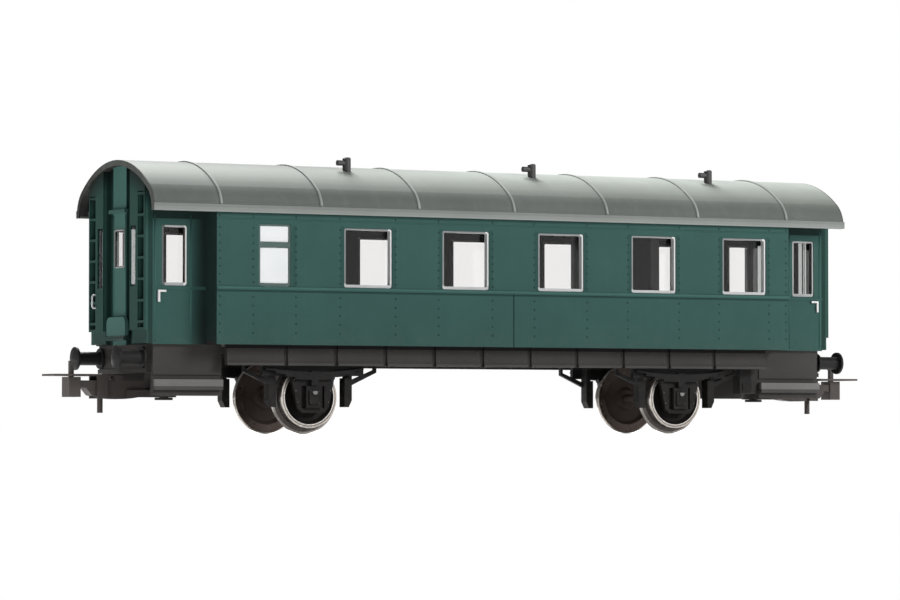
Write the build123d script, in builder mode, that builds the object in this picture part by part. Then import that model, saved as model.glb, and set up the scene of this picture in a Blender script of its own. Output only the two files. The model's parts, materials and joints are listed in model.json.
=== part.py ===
from build123d import *
from math import asin, cos, degrees, radians, sin, sqrt
import os

# A two-axle passenger coach as an H0 railway model, in millimetres.
# +X runs to the rear end, -Y is the left side, z = 0 is the foot of the wheel flanges.
# A size whose name ends in _up or _drop is measured from the floor plate's underside.

os.makedirs("parts", exist_ok=True)

# Fits
seat_fit = 0.05            # between pieces that are put together
running_fit = 0.05         # radial clearance of a piece that turns
press_gap = 0.02           # radial gap drawn in a pressed joint

# Wheels and axles
axle_inset = 21.0          # axle from the end of the main side
back_to_back = 14.4        # between the inner faces of a pair of wheels
tread_d = 10.9
flange_depth = 1.0
flange_width = 0.9
wheel_width = 2.8
tyre_depth = 0.65
hub_d = 3.4
web_width = 1.2
axle_d = 1.6
journal_d = 1.0
journal_length = 0.8

# Underframe
wheel_headroom = 2.6       # floor plate above the wheel flanges
floor_t = 0.6
sole_drop = 3.55           # foot of a solebar
sole_t = 1.0
sole_half = 13.4           # outer face of a solebar from the centre line
sole_flange_t = 0.55
sole_flange_out = 0.25
joint_gap = 0.8            # upright gaps in the solebar
joint_depth = 0.3
headstock_edge = 1.0       # headstock beyond the buffers' middle
headstock_drop = 4.9
headstock_t = 1.6
headstock_lip = 0.75       # lip along the headstock's foot
headstock_lip_out = 0.25
headstock_out = 0.3        # beyond the end wall
bearer_t = 1.0
bearer_drop = 1.2

# Axle guards, axleboxes and springs
guard_gap = 0.6            # between wheel and guard
guard_t = 0.9
plate_half = 10.0          # guard's top plate each side of the axle
plate_drop = 5.3
horn_top_half = 4.3        # horn cheeks at the top plate and at their foot
horn_foot_half = 3.1
horn_toe = 0.9
keep_t = 0.8               # keep below the axlebox
box_width = 3.1
box_height = 3.95
box_slot = 0.7             # between axlebox and cheek
box_out = 0.5
lid_width = 2.1
lid_height = 2.6
lid_out = 0.25
cap_d = 0.9
spring_half = 9.6
spring_r = 62.0
leaf_t = 0.35
leaf_count = 4
leaf_step = 1.9            # each lower leaf is shorter by this at each end
buckle_w = 1.4
buckle_h = 1.0             # buckle below the leaves

# Brakes
block_gap = 0.3            # between flange and block
block_t = 1.45
block_width = 2.0
block_foot = 1.75          # block below and above the axle
block_top = 3.4
block_corner = 0.6
hanger_w = 0.9
beam_d = 0.7
beam_drop = 1.5
strut_reach = 13.1         # strut's upper end from the axle
strut_drop = 4.2
strut_up = 2.4             # strut's lower end above the axle
strut_t = 0.45
strut_width = 0.8

# Body
body_length = 117.8        # main sides
body_width = 32.6
wall = 0.9
vestibule_length = 10.3
vestibule_width = 24.0
thin_wall = 1.0
side_up = 23.9             # top of the sides
belt_up = 10.05
belt_height = 0.6
belt_out = 0.25
panel_gap = 0.2            # upright joint between the lower panels

# Windows
window_width = 9.5
window_head = 3.25         # wall above the windows
sill_gap = 0.1             # between belt and windows
window_r = 0.4
right_shift = -0.8         # right side's windows from the middle of their bays
toilet_shift = 1.35        # toilet window from the middle of its bay
toilet_width = 6.3
toilet_head = 2.85
transom_share = 0.62       # of the toilet window's height
transom_height = 1.0
door_edge = 0.85           # door window from the end wall's inner face
door_window_width = 4.8
frame_w = 0.35
frame_foot = 0.55          # frame's bottom bar
frame_t = 1.0
frame_back = 0.12          # frame behind the wall's face
glass_t = 0.5
glass_margin = 1.2         # glazing beyond the opening

# Ends
centre_half = 2.8          # upright panel with the gangway door
centre_out = 0.8
guard_panel_width = 6.3    # guard panels beside the gangway
guard_panel_out = 1.45
guard_panel_up = 0.2
apron_out = 0.95           # guard panels below their ladders
end_window_half = 1.1
end_window_in = 4.9        # from the door wall's face to the middle of an end window
end_door_window_half = 1.9
end_door_window_head = 3.9
end_door_window_height = 6.2
pane_lip = 0.45            # wall left in front of the end panes
pane_edge = 0.25           # end panes beyond their openings
pane_back = 0.15           # end panes behind the wall's face
ladder_edge = 0.4
ladder_width = 2.5
ladder_depth = 1.15
ladder_up = 2.7            # above the guard panel's foot
ladder_rise = 2.6          # above the sides
rung_gap = 1.0             # below the first rung
rung_count = 7
rung_t = 0.4
header_lap = 0.8           # below the top of the sides
header_t = 0.6
header_half = 3.4
bridge_half = 4.0
bridge_up = 0.8
bridge_height = 4.1
bridge_t = 0.7
bridge_r = 1.3

# Roof
roof_over_end = 1.8        # beyond the end walls
eave_out = 0.4             # shell beyond the side walls
roof_rise = 8.5            # crown above the sides
shoulder_r = 5.4
eave_straight = 0.3
roof_wall = 1.0
gutter_lap = 1.0           # gutter below the top of the sides
gutter_height = 1.3
gutter_out = 0.3
seam_inset = 12.8          # outer seams from the roof's ends
seam_count = 7
seam_w = 0.55
seam_out = 0.15
vent_pitch = 38.0
vent_count = 3
vent_x = 9.0               # the middle ventilator
vent_y = -7.0
vent_d = 1.5
vent_height = 2.4
vent_arm_d = 1.0
vent_arm = 1.9

# Steps under the vestibules
step_skirt = 1.0           # skirt, groove and tread from the step's back
step_groove = 0.6
step_out = 1.9
step_length = 13.0
step_end = 0.9             # from the headstock's face
skirt_drop = 5.25
tread_drop = 6.05
tread_foot_drop = 7.9
step_foot_drop = 8.9

# Buffers
buffer_drop = 2.25
buffer_y = 9.0
buffer_length = 5.5
buffer_head_d = 4.1
buffer_head_t = 0.4
buffer_dome = 0.35
buffer_sleeve_d = 2.4
buffer_pin_d = 1.4
buffer_collar_d = 3.6
buffer_collar_t = 0.4

# Couplings, lengthwise from the headstock's face
swing_back = 8.0           # upright pivot
swing_pin_d = 1.6
mount_half = 2.6
mount_length = 5.6
shank_drop = 9.1           # foot of the shank
shank_t = 1.3
shank_half = 2.0
eye_r = 2.2
cheek_back = 4.0           # cheeks between shank and head
cheek_half = 1.35
cheek_height = 2.9
belly = 0.35               # cheeks' belly below the shank
heel = 0.3
neck_height = 1.3
neck_length = 1.1
slot_back = 0.1
head_reach = 8.5
head_length = 2.2
head_half = 1.6
head_height = 3.5
hook_back = 0.7            # hook behind the head's face
hook_length = 0.7
hook_half = 0.45
hook_height = 2.8
loop_pivot_reach = 1.2
loop_pivot_rise = 3.1      # above the shank's foot
loop_pin_d = 0.7
loop_barrel_d = 1.5
loop_barrel_half = 0.9
loop_rise = 3.65
loop_t = 0.35
loop_bar = 0.7
loop_half = 2.9
loop_split_reach = 6.1
loop_tip_reach = 13.9
lever_reach = 4.5          # upright plates beside the cheeks that carry the trip pin
lever_length = 1.9
lever_half = 1.95
lever_drop = 3.9
trip_pin_reach = 4.2
trip_pin_d = 1.0
trip_pin_length = 6.4

# Fittings and inside
handle_x = 1.2             # from the end face to the handle's post
handle_up = 7.3
handle_height = 1.9
handle_arm = 1.5
handle_t = 0.35
partition_shift = 1.2      # partition from the middle of its bay
partition_t = 1.8
ballast_margin = 2.0
ballast_width = 20.0
ballast_t = 1.5
battery_length = 4.0
battery_width = 2.4
battery_half = 10.9        # outer face of the battery box
battery_drop = 8.05
battery_lid = 1.2

# Places that follow from the sizes
rail = flange_depth
tread_r = tread_d / 2
flange_r = tread_r + flange_depth
axle_z = rail + tread_r
wheel_back = back_to_back / 2
wheel_front = wheel_back + wheel_width
floor_under = axle_z + flange_r + wheel_headroom
floor_z = floor_under + floor_t
sole_foot = floor_under - sole_drop
sole_in = sole_half - sole_t
side_face = body_width / 2
side_in = side_face - wall
side_end = body_length / 2
axle_x = side_end - axle_inset
end_x = side_end + vestibule_length
vest_face = vestibule_width / 2
side_top = floor_under + side_up
roof_top = side_top + roof_rise
roof_half = side_face + eave_out
roof_length = 2 * (end_x + roof_over_end)
gutter_foot = side_top - gutter_lap
belt_z = floor_under + belt_up
window_foot = belt_z + sill_gap
window_height = side_top - window_head - window_foot
window_mid = window_foot + window_height / 2
toilet_height = side_top - toilet_head - window_foot
window_pitch = body_length / 6
window_places = [window_pitch * (n + 0.5) for n in range(-3, 3)]
toilet_x = window_places[0] + toilet_shift
door_x = end_x - thin_wall - door_edge - door_window_width / 2
partition_x = window_places[4] + partition_shift
headstock_x = end_x + headstock_out
headstock_half = buffer_y + headstock_edge
buffer_z = floor_under - buffer_drop
step_back = headstock_half + 2 * seat_fit
step_x = headstock_x - step_end - step_length
guard_in = wheel_front + guard_gap
guard_face = guard_in + guard_t

# The crown's arc touches both shoulder arcs
shoulder_y = roof_half - shoulder_r
shoulder_z = gutter_foot + eave_straight
crown_up = roof_top - shoulder_z
crown_r = (shoulder_y ** 2 + crown_up ** 2 - shoulder_r ** 2) / (2 * (crown_up - shoulder_r))
crown_z = roof_top - crown_r

ends = (("front", -1), ("rear", 1))
sides = (("left", -1), ("right", 1))


def carried(solid, end, side):
    # a piece drawn at the rear left, carried to another end or side
    if end < 0:
        solid = mirror(solid, about=Plane.YZ)
    if side > 0:
        solid = mirror(solid, about=Plane.XZ)
    return solid


def arch(inset):
    # the roof's outline, inset from its outer face: crown arc between two shoulder arcs
    half = roof_half - inset
    crown = crown_r - inset
    shoulder = shoulder_r - inset
    sine = shoulder_y / (crown_r - shoulder_r)
    cosine = sqrt(1 - sine * sine)
    turn = radians((90 + degrees(asin(sine))) / 2)
    mid = (shoulder_y + shoulder * sin(turn), shoulder_z + shoulder * cos(turn))
    knee = (crown * sine, crown_z + crown * cosine)
    with BuildLine() as line:
        ThreePointArc((-knee[0], knee[1]), (0, crown_z + crown), knee)
        ThreePointArc(knee, mid, (half, shoulder_z))
        Line((half, shoulder_z), (half, gutter_foot))
        Line((half, gutter_foot), (-half, gutter_foot))
        Line((-half, gutter_foot), (-half, shoulder_z))
        ThreePointArc((-half, shoulder_z), (-mid[0], mid[1]), (-knee[0], knee[1]))
    return line.line


# Underframe: floor plate between the walls, solebars with upright gaps, headstocks and bearers
with BuildPart() as underframe:
    with BuildSketch(Plane.XY.offset(floor_under)):
        Rectangle(body_length, 2 * (side_in - seat_fit))
        Rectangle(2 * (end_x - thin_wall - seat_fit), 2 * (vest_face - thin_wall - seat_fit))
    extrude(amount=floor_t)
    with BuildSketch(Plane.XY.offset(sole_foot)):
        with Locations((0, sole_half - sole_t / 2), (0, sole_t / 2 - sole_half)):
            Rectangle(2 * (step_x - seat_fit), sole_t)
    extrude(amount=sole_drop)
    with BuildSketch(Plane.XY.offset(sole_foot)):
        with Locations((0, sole_half), (0, -sole_half)):
            Rectangle(2 * (step_x - seat_fit), 2 * sole_flange_out)
    extrude(amount=sole_flange_t)
    joint_places = [window_pitch / 2 * (n + 0.5) for n in range(-5, 5)]
    with BuildSketch(Plane.XY.offset(sole_foot)):
        with Locations([(x, s * sole_half) for x in joint_places for s in (-1, 1)]):
            Rectangle(joint_gap, 2 * joint_depth)
    extrude(amount=sole_drop, mode=Mode.SUBTRACT)
    with BuildSketch(Plane.XY.offset(floor_under - headstock_drop)):
        with Locations((headstock_x - headstock_t / 2, 0), (headstock_t / 2 - headstock_x, 0)):
            Rectangle(headstock_t, 2 * headstock_half)
    extrude(amount=headstock_drop)
    with BuildSketch(Plane.XY.offset(floor_under - headstock_drop)):
        with Locations((headstock_x, 0), (-headstock_x, 0)):
            Rectangle(2 * headstock_lip_out, 2 * headstock_half)
    extrude(amount=headstock_lip)
    bearer_reach = flange_r + block_gap + block_t + 2 * bearer_t
    with BuildSketch(Plane.XY.offset(floor_under - bearer_drop)):
        with Locations([(e * axle_x + s * bearer_reach, 0) for e in (-1, 1) for s in (-1, 1)]):
            Rectangle(bearer_t, 2 * (guard_in - seat_fit))
    extrude(amount=bearer_drop)
    with BuildSketch(Plane.YZ.offset(headstock_x)):
        with Locations((buffer_y, buffer_z), (-buffer_y, buffer_z)):
            Circle(buffer_pin_d / 2 + press_gap)
    extrude(amount=-2 * headstock_x, mode=Mode.SUBTRACT)
underframe.part.label = "underframe"
export_step(underframe.part, "parts/underframe.step")

# Axle guard: top plate, horn cheeks with the keep, and the axlebox between them with its lid
plate_foot = floor_under - plate_drop
box_foot = axle_z - box_height / 2
box_top = axle_z + box_height / 2
keep_foot = box_foot - keep_t
with BuildPart() as guard:
    with BuildSketch(Plane.XZ.offset(guard_in)):
        with BuildLine():
            Polyline(
                (axle_x - plate_half, floor_under),
                (axle_x - plate_half, plate_foot),
                (axle_x - horn_top_half, plate_foot),
                (axle_x - horn_foot_half, keep_foot + horn_toe),
                (axle_x - horn_foot_half + horn_toe, keep_foot),
                (axle_x + horn_foot_half - horn_toe, keep_foot),
                (axle_x + horn_foot_half, keep_foot + horn_toe),
                (axle_x + horn_top_half, plate_foot),
                (axle_x + plate_half, plate_foot),
                (axle_x + plate_half, floor_under),
                close=True,
            )
        make_face()
    extrude(amount=guard_t)
    with BuildSketch(Plane.XZ.offset(guard_face)):
        with Locations((axle_x, axle_z)):
            Rectangle(box_width + 2 * box_slot, box_height)
    extrude(amount=-guard_t / 2, mode=Mode.SUBTRACT)
    with BuildSketch(Plane.XZ.offset(guard_face - guard_t / 2)):
        with Locations((axle_x, axle_z)):
            Rectangle(box_width, box_height)
    extrude(amount=guard_t / 2 + box_out)
    with BuildSketch(Plane.XZ.offset(guard_face + box_out)):
        with Locations((axle_x, axle_z)):
            RectangleRounded(lid_width, lid_height, lid_width / 5)
    extrude(amount=lid_out)
    with BuildSketch(Plane.XZ.offset(guard_face + box_out + lid_out)):
        with Locations((axle_x, axle_z + lid_height / 3)):
            Circle(cap_d / 2)
    extrude(amount=lid_out)
    with BuildSketch(Plane.XZ.offset(guard_in)):
        with Locations((axle_x, axle_z)):
            Circle(journal_d / 2 + running_fit)
    extrude(amount=journal_length + seat_fit, mode=Mode.SUBTRACT)
for end_name, end in ends:
    for side_name, side in sides:
        name = f"axle_guard_{end_name}_{side_name}"
        solid = carried(guard.part, end, side)
        with BuildPart() as piece:
            add(solid)
        piece.part.label = name
        export_step(piece.part, f"parts/{name}.step")

# Leaf spring: bent leaves that get shorter downwards, with a buckle that stands on the axlebox
spring_y = guard_face + seat_fit
spring_width = sole_in - seat_fit - spring_y
stack = leaf_t * leaf_count
buckle_foot = box_top + seat_fit
spring_top = buckle_foot + buckle_h + stack
spring_z = spring_top + spring_r
with BuildPart() as spring:
    with BuildSketch(Plane.XZ.offset(spring_y)):
        for leaf in range(leaf_count):
            inner = spring_r + leaf * leaf_t
            outer = inner + leaf_t
            half = spring_half - leaf * leaf_step
            with BuildLine():
                inner_end = spring_z - sqrt(inner * inner - half * half)
                outer_end = spring_z - sqrt(outer * outer - half * half)
                ThreePointArc(
                    (axle_x - half, inner_end), (axle_x, spring_z - inner), (axle_x + half, inner_end))
                Line((axle_x + half, inner_end), (axle_x + half, outer_end))
                ThreePointArc(
                    (axle_x + half, outer_end), (axle_x, spring_z - outer), (axle_x - half, outer_end))
                Line((axle_x - half, outer_end), (axle_x - half, inner_end))
            make_face()
        with Locations((axle_x, (buckle_foot + spring_top + leaf_t / 2) / 2)):
            Rectangle(buckle_w, spring_top + leaf_t / 2 - buckle_foot)
    extrude(amount=spring_width)
for end_name, end in ends:
    for side_name, side in sides:
        name = f"leaf_spring_{end_name}_{side_name}"
        solid = carried(spring.part, end, side)
        with BuildPart() as piece:
            add(solid)
        piece.part.label = name
        export_step(piece.part, f"parts/{name}.step")

# Brake gear of one axle: four blocks on hangers with struts, joined in pairs by beams
block_in = flange_r + block_gap
block_out = block_in + block_t
block_y = wheel_front + guard_gap - 2 * seat_fit - block_width
block_low = axle_z - block_foot
block_high = axle_z + block_top
strut_z = floor_under - strut_drop
strut_low = axle_z + strut_up
with BuildPart() as brake:
    with BuildSketch(Plane.XZ.offset(block_y)):
        for s in (-1, 1):
            with BuildLine():
                Polyline(
                    (axle_x + s * block_in, block_low),
                    (axle_x + s * (block_out - block_corner), block_low),
                    (axle_x + s * block_out, block_low + 2 * block_corner),
                    (axle_x + s * block_out, floor_under),
                    (axle_x + s * (block_out - hanger_w), floor_under),
                    (axle_x + s * (block_out - hanger_w), block_high),
                    (axle_x + s * block_in, block_high),
                    close=True,
                )
            make_face()
    extrude(amount=block_width)
    with BuildSketch(Plane.XZ.offset(block_y + block_width - strut_width)):
        for s in (-1, 1):
            with BuildLine():
                Polyline(
                    (axle_x + s * (block_out - strut_t), strut_low - strut_t),
                    (axle_x + s * (block_out - strut_t), strut_low + strut_t),
                    (axle_x + s * (strut_reach - strut_t), strut_z),
                    (axle_x + s * (strut_reach - strut_t), floor_under),
                    (axle_x + s * strut_reach, floor_under),
                    (axle_x + s * strut_reach, strut_z - strut_t),
                    close=True,
                )
            make_face()
    extrude(amount=strut_width)
    mirror(about=Plane.XZ)
    with BuildSketch(Plane.XZ.offset(block_y + strut_width)):
        with Locations([(axle_x + s * (block_out - hanger_w / 2), floor_under - beam_drop) for s in (-1, 1)]):
            Circle(beam_d / 2)
    extrude(amount=-2 * (block_y + strut_width))
for end_name, end in ends:
    name = f"brake_gear_{end_name}"
    solid = carried(brake.part, end, -1)
    with BuildPart() as piece:
        add(solid)
    piece.part.label = name
    export_step(piece.part, f"parts/{name}.step")

# Steps under the vestibules: skirt, groove, tread board and foot as one moulding
with BuildPart() as step:
    with BuildSketch(Plane.YZ.offset(step_x)):
        with BuildLine():
            Polyline(
                (-step_back, floor_under - step_foot_drop),
                (-step_back, floor_under),
                (-step_back - step_skirt, floor_under),
                (-step_back - step_skirt, floor_under - skirt_drop),
                (-step_back - step_groove, floor_under - skirt_drop),
                (-step_back - step_groove, floor_under - tread_drop),
                (-step_back - step_out, floor_under - tread_drop),
                (-step_back - step_out, floor_under - tread_foot_drop),
                (-step_back - step_skirt, floor_under - tread_foot_drop),
                (-step_back - step_skirt, floor_under - step_foot_drop),
                close=True,
            )
        make_face()
    extrude(amount=step_length)
for end_name, end in ends:
    for side_name, side in sides:
        name = f"step_{end_name}_{side_name}"
        solid = carried(step.part, end, side)
        with BuildPart() as piece:
            add(solid)
        piece.part.label = name
        export_step(piece.part, f"parts/{name}.step")

# Side walls: window openings, belt moulding and the joint between the lower panels
plain = (window_width, window_height)
openings = {
    "left": [(toilet_x, toilet_width, toilet_height)] + [(x, *plain) for x in window_places[1:]],
    "right": [(x + right_shift, *plain) for x in window_places],
}
for side_name, side in sides:
    with BuildPart() as master:
        with BuildSketch(Plane.XZ.offset(side_in)):
            with Locations((0, (floor_under + side_top) / 2)):
                Rectangle(body_length, side_top - floor_under)
            for x, width, height in openings[side_name]:
                with Locations((x, window_foot + height / 2)):
                    RectangleRounded(width, height, window_r, mode=Mode.SUBTRACT)
        extrude(amount=wall)
        with BuildSketch(Plane.XZ.offset(side_face)):
            with Locations((0, belt_z - belt_height / 2)):
                Rectangle(body_length, belt_height)
        extrude(amount=belt_out)
        with BuildSketch(Plane.XZ.offset(side_face)):
            with Locations((0, (floor_under + belt_z - belt_height) / 2)):
                Rectangle(panel_gap, belt_z - belt_height - floor_under)
        extrude(amount=-panel_gap, mode=Mode.SUBTRACT)
    name = f"side_wall_{side_name}"
    solid = carried(master.part, 1, side)
    with BuildPart() as piece:
        add(solid)
    piece.part.label = name
    export_step(piece.part, f"parts/{name}.step")

# Window frames of one side and of its two doors, the toilet's with a transom
transom_foot = window_foot + transom_share * toilet_height
transom_top = transom_foot + transom_height
frame_waste = frame_foot + frame_w
frame_rise = (frame_foot - frame_w) / 2
for side_name, side in sides:
    with BuildPart() as master:
        with BuildSketch(Plane.XZ.offset(side_face - frame_back - frame_t)):
            for x, width, height in openings[side_name]:
                with Locations((x, window_foot + height / 2)):
                    RectangleRounded(width - 2 * seat_fit, height - 2 * seat_fit, window_r)
                with Locations((x, window_foot + height / 2 + frame_rise)):
                    RectangleRounded(width - 2 * frame_w, height - frame_waste, window_r / 2,
                                     mode=Mode.SUBTRACT)
            if side < 0:
                with Locations((toilet_x, (transom_foot + transom_top) / 2)):
                    Rectangle(toilet_width - 2 * seat_fit, transom_height)
        extrude(amount=frame_t)
        with BuildSketch(Plane.XZ.offset(vest_face - frame_back - frame_t)):
            for x in (-door_x, door_x):
                with Locations((x, window_mid)):
                    RectangleRounded(
                        door_window_width - 2 * seat_fit, window_height - 2 * seat_fit, window_r)
                with Locations((x, window_mid + frame_rise)):
                    RectangleRounded(door_window_width - 2 * frame_w, window_height - frame_waste,
                                     window_r / 2, mode=Mode.SUBTRACT)
        extrude(amount=frame_t)
    name = f"window_frames_{side_name}"
    solid = carried(master.part, 1, side)
    with BuildPart() as piece:
        add(solid)
    piece.part.label = name
    export_step(piece.part, f"parts/{name}.step")

# Clear glazing strip behind one side's windows
glass_height = window_height + 2 * glass_margin
frame_reach = frame_back + frame_t + seat_fit
glass_in = side_face - frame_reach - glass_t
for side_name, side in sides:
    with BuildPart() as master:
        with BuildSketch(Plane.XZ.offset(glass_in)):
            with Locations((0, window_mid)):
                Rectangle(2 * (side_end - thin_wall - glass_margin), glass_height)
        extrude(amount=glass_t)
    name = f"glazing_{side_name}"
    solid = carried(master.part, 1, side)
    with BuildPart() as piece:
        add(solid)
    piece.part.label = name
    export_step(piece.part, f"parts/{name}.step")

# Milky panes of the toilet window, above and below its transom
pane_foot = window_foot + frame_foot + seat_fit
pane_top = window_foot + toilet_height - frame_w - seat_fit
pane_width = toilet_width - 2 * frame_w - 2 * seat_fit
with BuildPart() as panes:
    with BuildSketch(Plane.XZ.offset(side_face - frame_back - 0.8 * frame_t)):
        for low, high in ((pane_foot, transom_foot - seat_fit), (transom_top + seat_fit, pane_top)):
            with Locations((toilet_x, (low + high) / 2)):
                Rectangle(pane_width, high - low)
    extrude(amount=0.6 * frame_t)
panes.part.label = "toilet_panes"
export_step(panes.part, "parts/toilet_panes.step")

# Vestibule end: two door walls, the end wall and the returns to the main sides, under the roof's arch
guard_panel_z = floor_under + guard_panel_up
guard_panel_y = vest_face - guard_panel_width / 2
ladder_y = vest_face - ladder_edge - ladder_width / 2
end_window_y = vest_face - end_window_in
end_door_window_z = side_top - end_door_window_head - end_door_window_height / 2
ladder_z = guard_panel_z + ladder_up
ladder_height = side_top + ladder_rise - ladder_z
rung_pitch = (ladder_height - rung_gap - rung_t) / (rung_count - 1)
with BuildPart() as vestibule:
    with BuildSketch(Plane.XY.offset(floor_z)):
        with Locations(((side_end - thin_wall + end_x) / 2, 0)):
            Rectangle(vestibule_length + thin_wall, vestibule_width)
        with Locations((side_end - thin_wall / 2, 0)):
            Rectangle(thin_wall, 2 * (side_in - seat_fit))
        with Locations(((side_end + end_x) / 2 - thin_wall, 0)):
            Rectangle(vestibule_length, vestibule_width - 2 * thin_wall, mode=Mode.SUBTRACT)
    extrude(amount=roof_top - floor_z)
    with BuildSketch(Plane.XY.offset(floor_under)):
        with Locations(((side_end + seat_fit + end_x) / 2, 0)):
            Rectangle(vestibule_length - seat_fit, vestibule_width)
        with Locations(((side_end + end_x) / 2 - thin_wall, 0)):
            Rectangle(vestibule_length, vestibule_width - 2 * thin_wall, mode=Mode.SUBTRACT)
    extrude(amount=floor_t)
    with BuildSketch(Plane.YZ.offset(end_x)):
        for s in (-1, 1):
            with Locations((s * guard_panel_y, (ladder_z - rung_t + roof_top) / 2)):
                Rectangle(guard_panel_width, roof_top - ladder_z + rung_t)
    extrude(amount=guard_panel_out)
    with BuildSketch(Plane.YZ.offset(end_x)):
        for s in (-1, 1):
            with Locations((s * guard_panel_y, (guard_panel_z + ladder_z) / 2)):
                Rectangle(guard_panel_width, ladder_z - guard_panel_z)
    extrude(amount=apron_out)
    for face, out in ((vest_face, belt_out), (-vest_face, -belt_out)):
        with BuildSketch(Plane.XZ.offset(face)):
            with Locations(((side_end + end_x) / 2, belt_z - belt_height / 2)):
                Rectangle(vestibule_length, belt_height)
        extrude(amount=out / 2)
    with BuildSketch(Plane.YZ.offset(end_x)):
        with Locations((0, (floor_under + roof_top) / 2)):
            Rectangle(2 * centre_half, roof_top - floor_under)
    extrude(amount=centre_out)
    with BuildSketch(Plane.YZ.offset(end_x)):
        with Locations((0, side_top - header_lap + header_t / 2)):
            Rectangle(2 * header_half, header_t)
    extrude(amount=guard_panel_out)
    with BuildSketch(Plane.YZ.offset(side_end - thin_wall)):
        make_face(arch(roof_wall + seat_fit))
        with Locations((0, (floor_under + gutter_foot) / 2)):
            Rectangle(body_width, gutter_foot - floor_under)
    extrude(amount=vestibule_length + thin_wall + guard_panel_out, mode=Mode.INTERSECT)
    with BuildSketch(Plane.XZ.offset(vest_face)):
        with Locations((door_x, window_mid)):
            RectangleRounded(door_window_width, window_height, window_r)
    extrude(amount=-vestibule_width, mode=Mode.SUBTRACT)
    with BuildSketch(Plane.YZ.offset(end_x - thin_wall)):
        for s in (-1, 1):
            with Locations((s * end_window_y, window_mid)):
                Rectangle(2 * end_window_half, window_height)
        with Locations((0, end_door_window_z)):
            Rectangle(2 * end_door_window_half, end_door_window_height)
    extrude(amount=thin_wall + guard_panel_out, mode=Mode.SUBTRACT)
    with BuildSketch(Plane.YZ.offset(end_x - thin_wall)):
        for s in (-1, 1):
            with Locations((s * end_window_y, window_mid)):
                Rectangle(2 * (end_window_half + pane_edge), window_height + 2 * pane_edge)
    extrude(amount=thin_wall + guard_panel_out - pane_lip, mode=Mode.SUBTRACT)
    with BuildSketch(Plane.YZ.offset(end_x - thin_wall)):
        with Locations((0, end_door_window_z)):
            Rectangle(2 * (end_door_window_half + pane_edge), end_door_window_height + 2 * pane_edge)
    extrude(amount=thin_wall + centre_out - pane_lip, mode=Mode.SUBTRACT)
    with BuildSketch(Plane.YZ.offset(end_x + guard_panel_out)):
        for s in (-1, 1):
            with Locations((s * ladder_y, ladder_z + ladder_height / 2)):
                Rectangle(ladder_width, ladder_height)
    extrude(amount=-ladder_depth, mode=Mode.SUBTRACT)
    with BuildSketch(Plane.YZ.offset(end_x + guard_panel_out - ladder_depth)):
        for s in (-1, 1):
            for rung in range(rung_count):
                with Locations((s * ladder_y, ladder_z + rung_gap + rung * rung_pitch)):
                    Rectangle(ladder_width, rung_t)
    extrude(amount=ladder_depth)
for end_name, end in ends:
    name = f"vestibule_{end_name}"
    solid = carried(vestibule.part, end, -1)
    with BuildPart() as piece:
        add(solid)
    piece.part.label = name
    export_step(piece.part, f"parts/{name}.step")

# Glazing of one vestibule: a pane behind each door window, and an end pane raised into its openings
with BuildPart() as end_glazing:
    pane_reach = vest_face - frame_reach
    with BuildSketch(Plane.XZ.offset(pane_reach - glass_t)):
        with Locations((door_x, window_mid)):
            Rectangle(door_window_width + 2 * seat_fit + glass_t, glass_height)
    extrude(amount=glass_t)
    mirror(about=Plane.XZ)
    pane_x = end_x - thin_wall - seat_fit - glass_t
    with BuildSketch(Plane.YZ.offset(pane_x)):
        with Locations((0, window_mid)):
            Rectangle(2 * (pane_reach - 2 * glass_t), glass_height)
    extrude(amount=glass_t)
    for spread, front in ((pane_edge, pane_lip), (0, pane_back)):
        with BuildSketch(Plane.YZ.offset(pane_x)):
            for s in (-1, 1):
                with Locations((s * end_window_y, window_mid)):
                    Rectangle(2 * (end_window_half + spread - seat_fit),
                              window_height + 2 * spread - 2 * seat_fit)
        extrude(amount=end_x + guard_panel_out - front - seat_fit - pane_x)
        with BuildSketch(Plane.YZ.offset(pane_x)):
            with Locations((0, end_door_window_z)):
                Rectangle(2 * (end_door_window_half + spread - seat_fit),
                          end_door_window_height + 2 * spread - 2 * seat_fit)
        extrude(amount=end_x + centre_out - front - seat_fit - pane_x)
for end_name, end in ends:
    name = f"vestibule_glazing_{end_name}"
    solid = carried(end_glazing.part, end, -1)
    with BuildPart() as piece:
        add(solid)
    piece.part.label = name
    export_step(piece.part, f"parts/{name}.step")

# Gangway bridge plate, folded up in front of the end door, with its hinge rod
with BuildPart() as bridge:
    bridge_x = end_x + centre_out + seat_fit
    bridge_z = floor_under + bridge_up
    with BuildSketch(Plane.YZ.offset(bridge_x)):
        with Locations((0, bridge_z + bridge_height / 2)):
            RectangleRounded(2 * bridge_half, bridge_height, bridge_r)
        with Locations((0, bridge_z + bridge_t / 2)):
            Rectangle(2 * bridge_half, bridge_t)
    extrude(amount=bridge_t)
    with BuildSketch(Plane.XZ.offset(-bridge_half)):
        with Locations((bridge_x + bridge_t, bridge_z + bridge_t / 2)):
            Circle(bridge_t / 2)
    extrude(amount=2 * bridge_half)
for end_name, end in ends:
    name = f"bridge_plate_{end_name}"
    solid = carried(bridge.part, end, -1)
    with BuildPart() as piece:
        add(solid)
    piece.part.label = name
    export_step(piece.part, f"parts/{name}.step")

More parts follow.
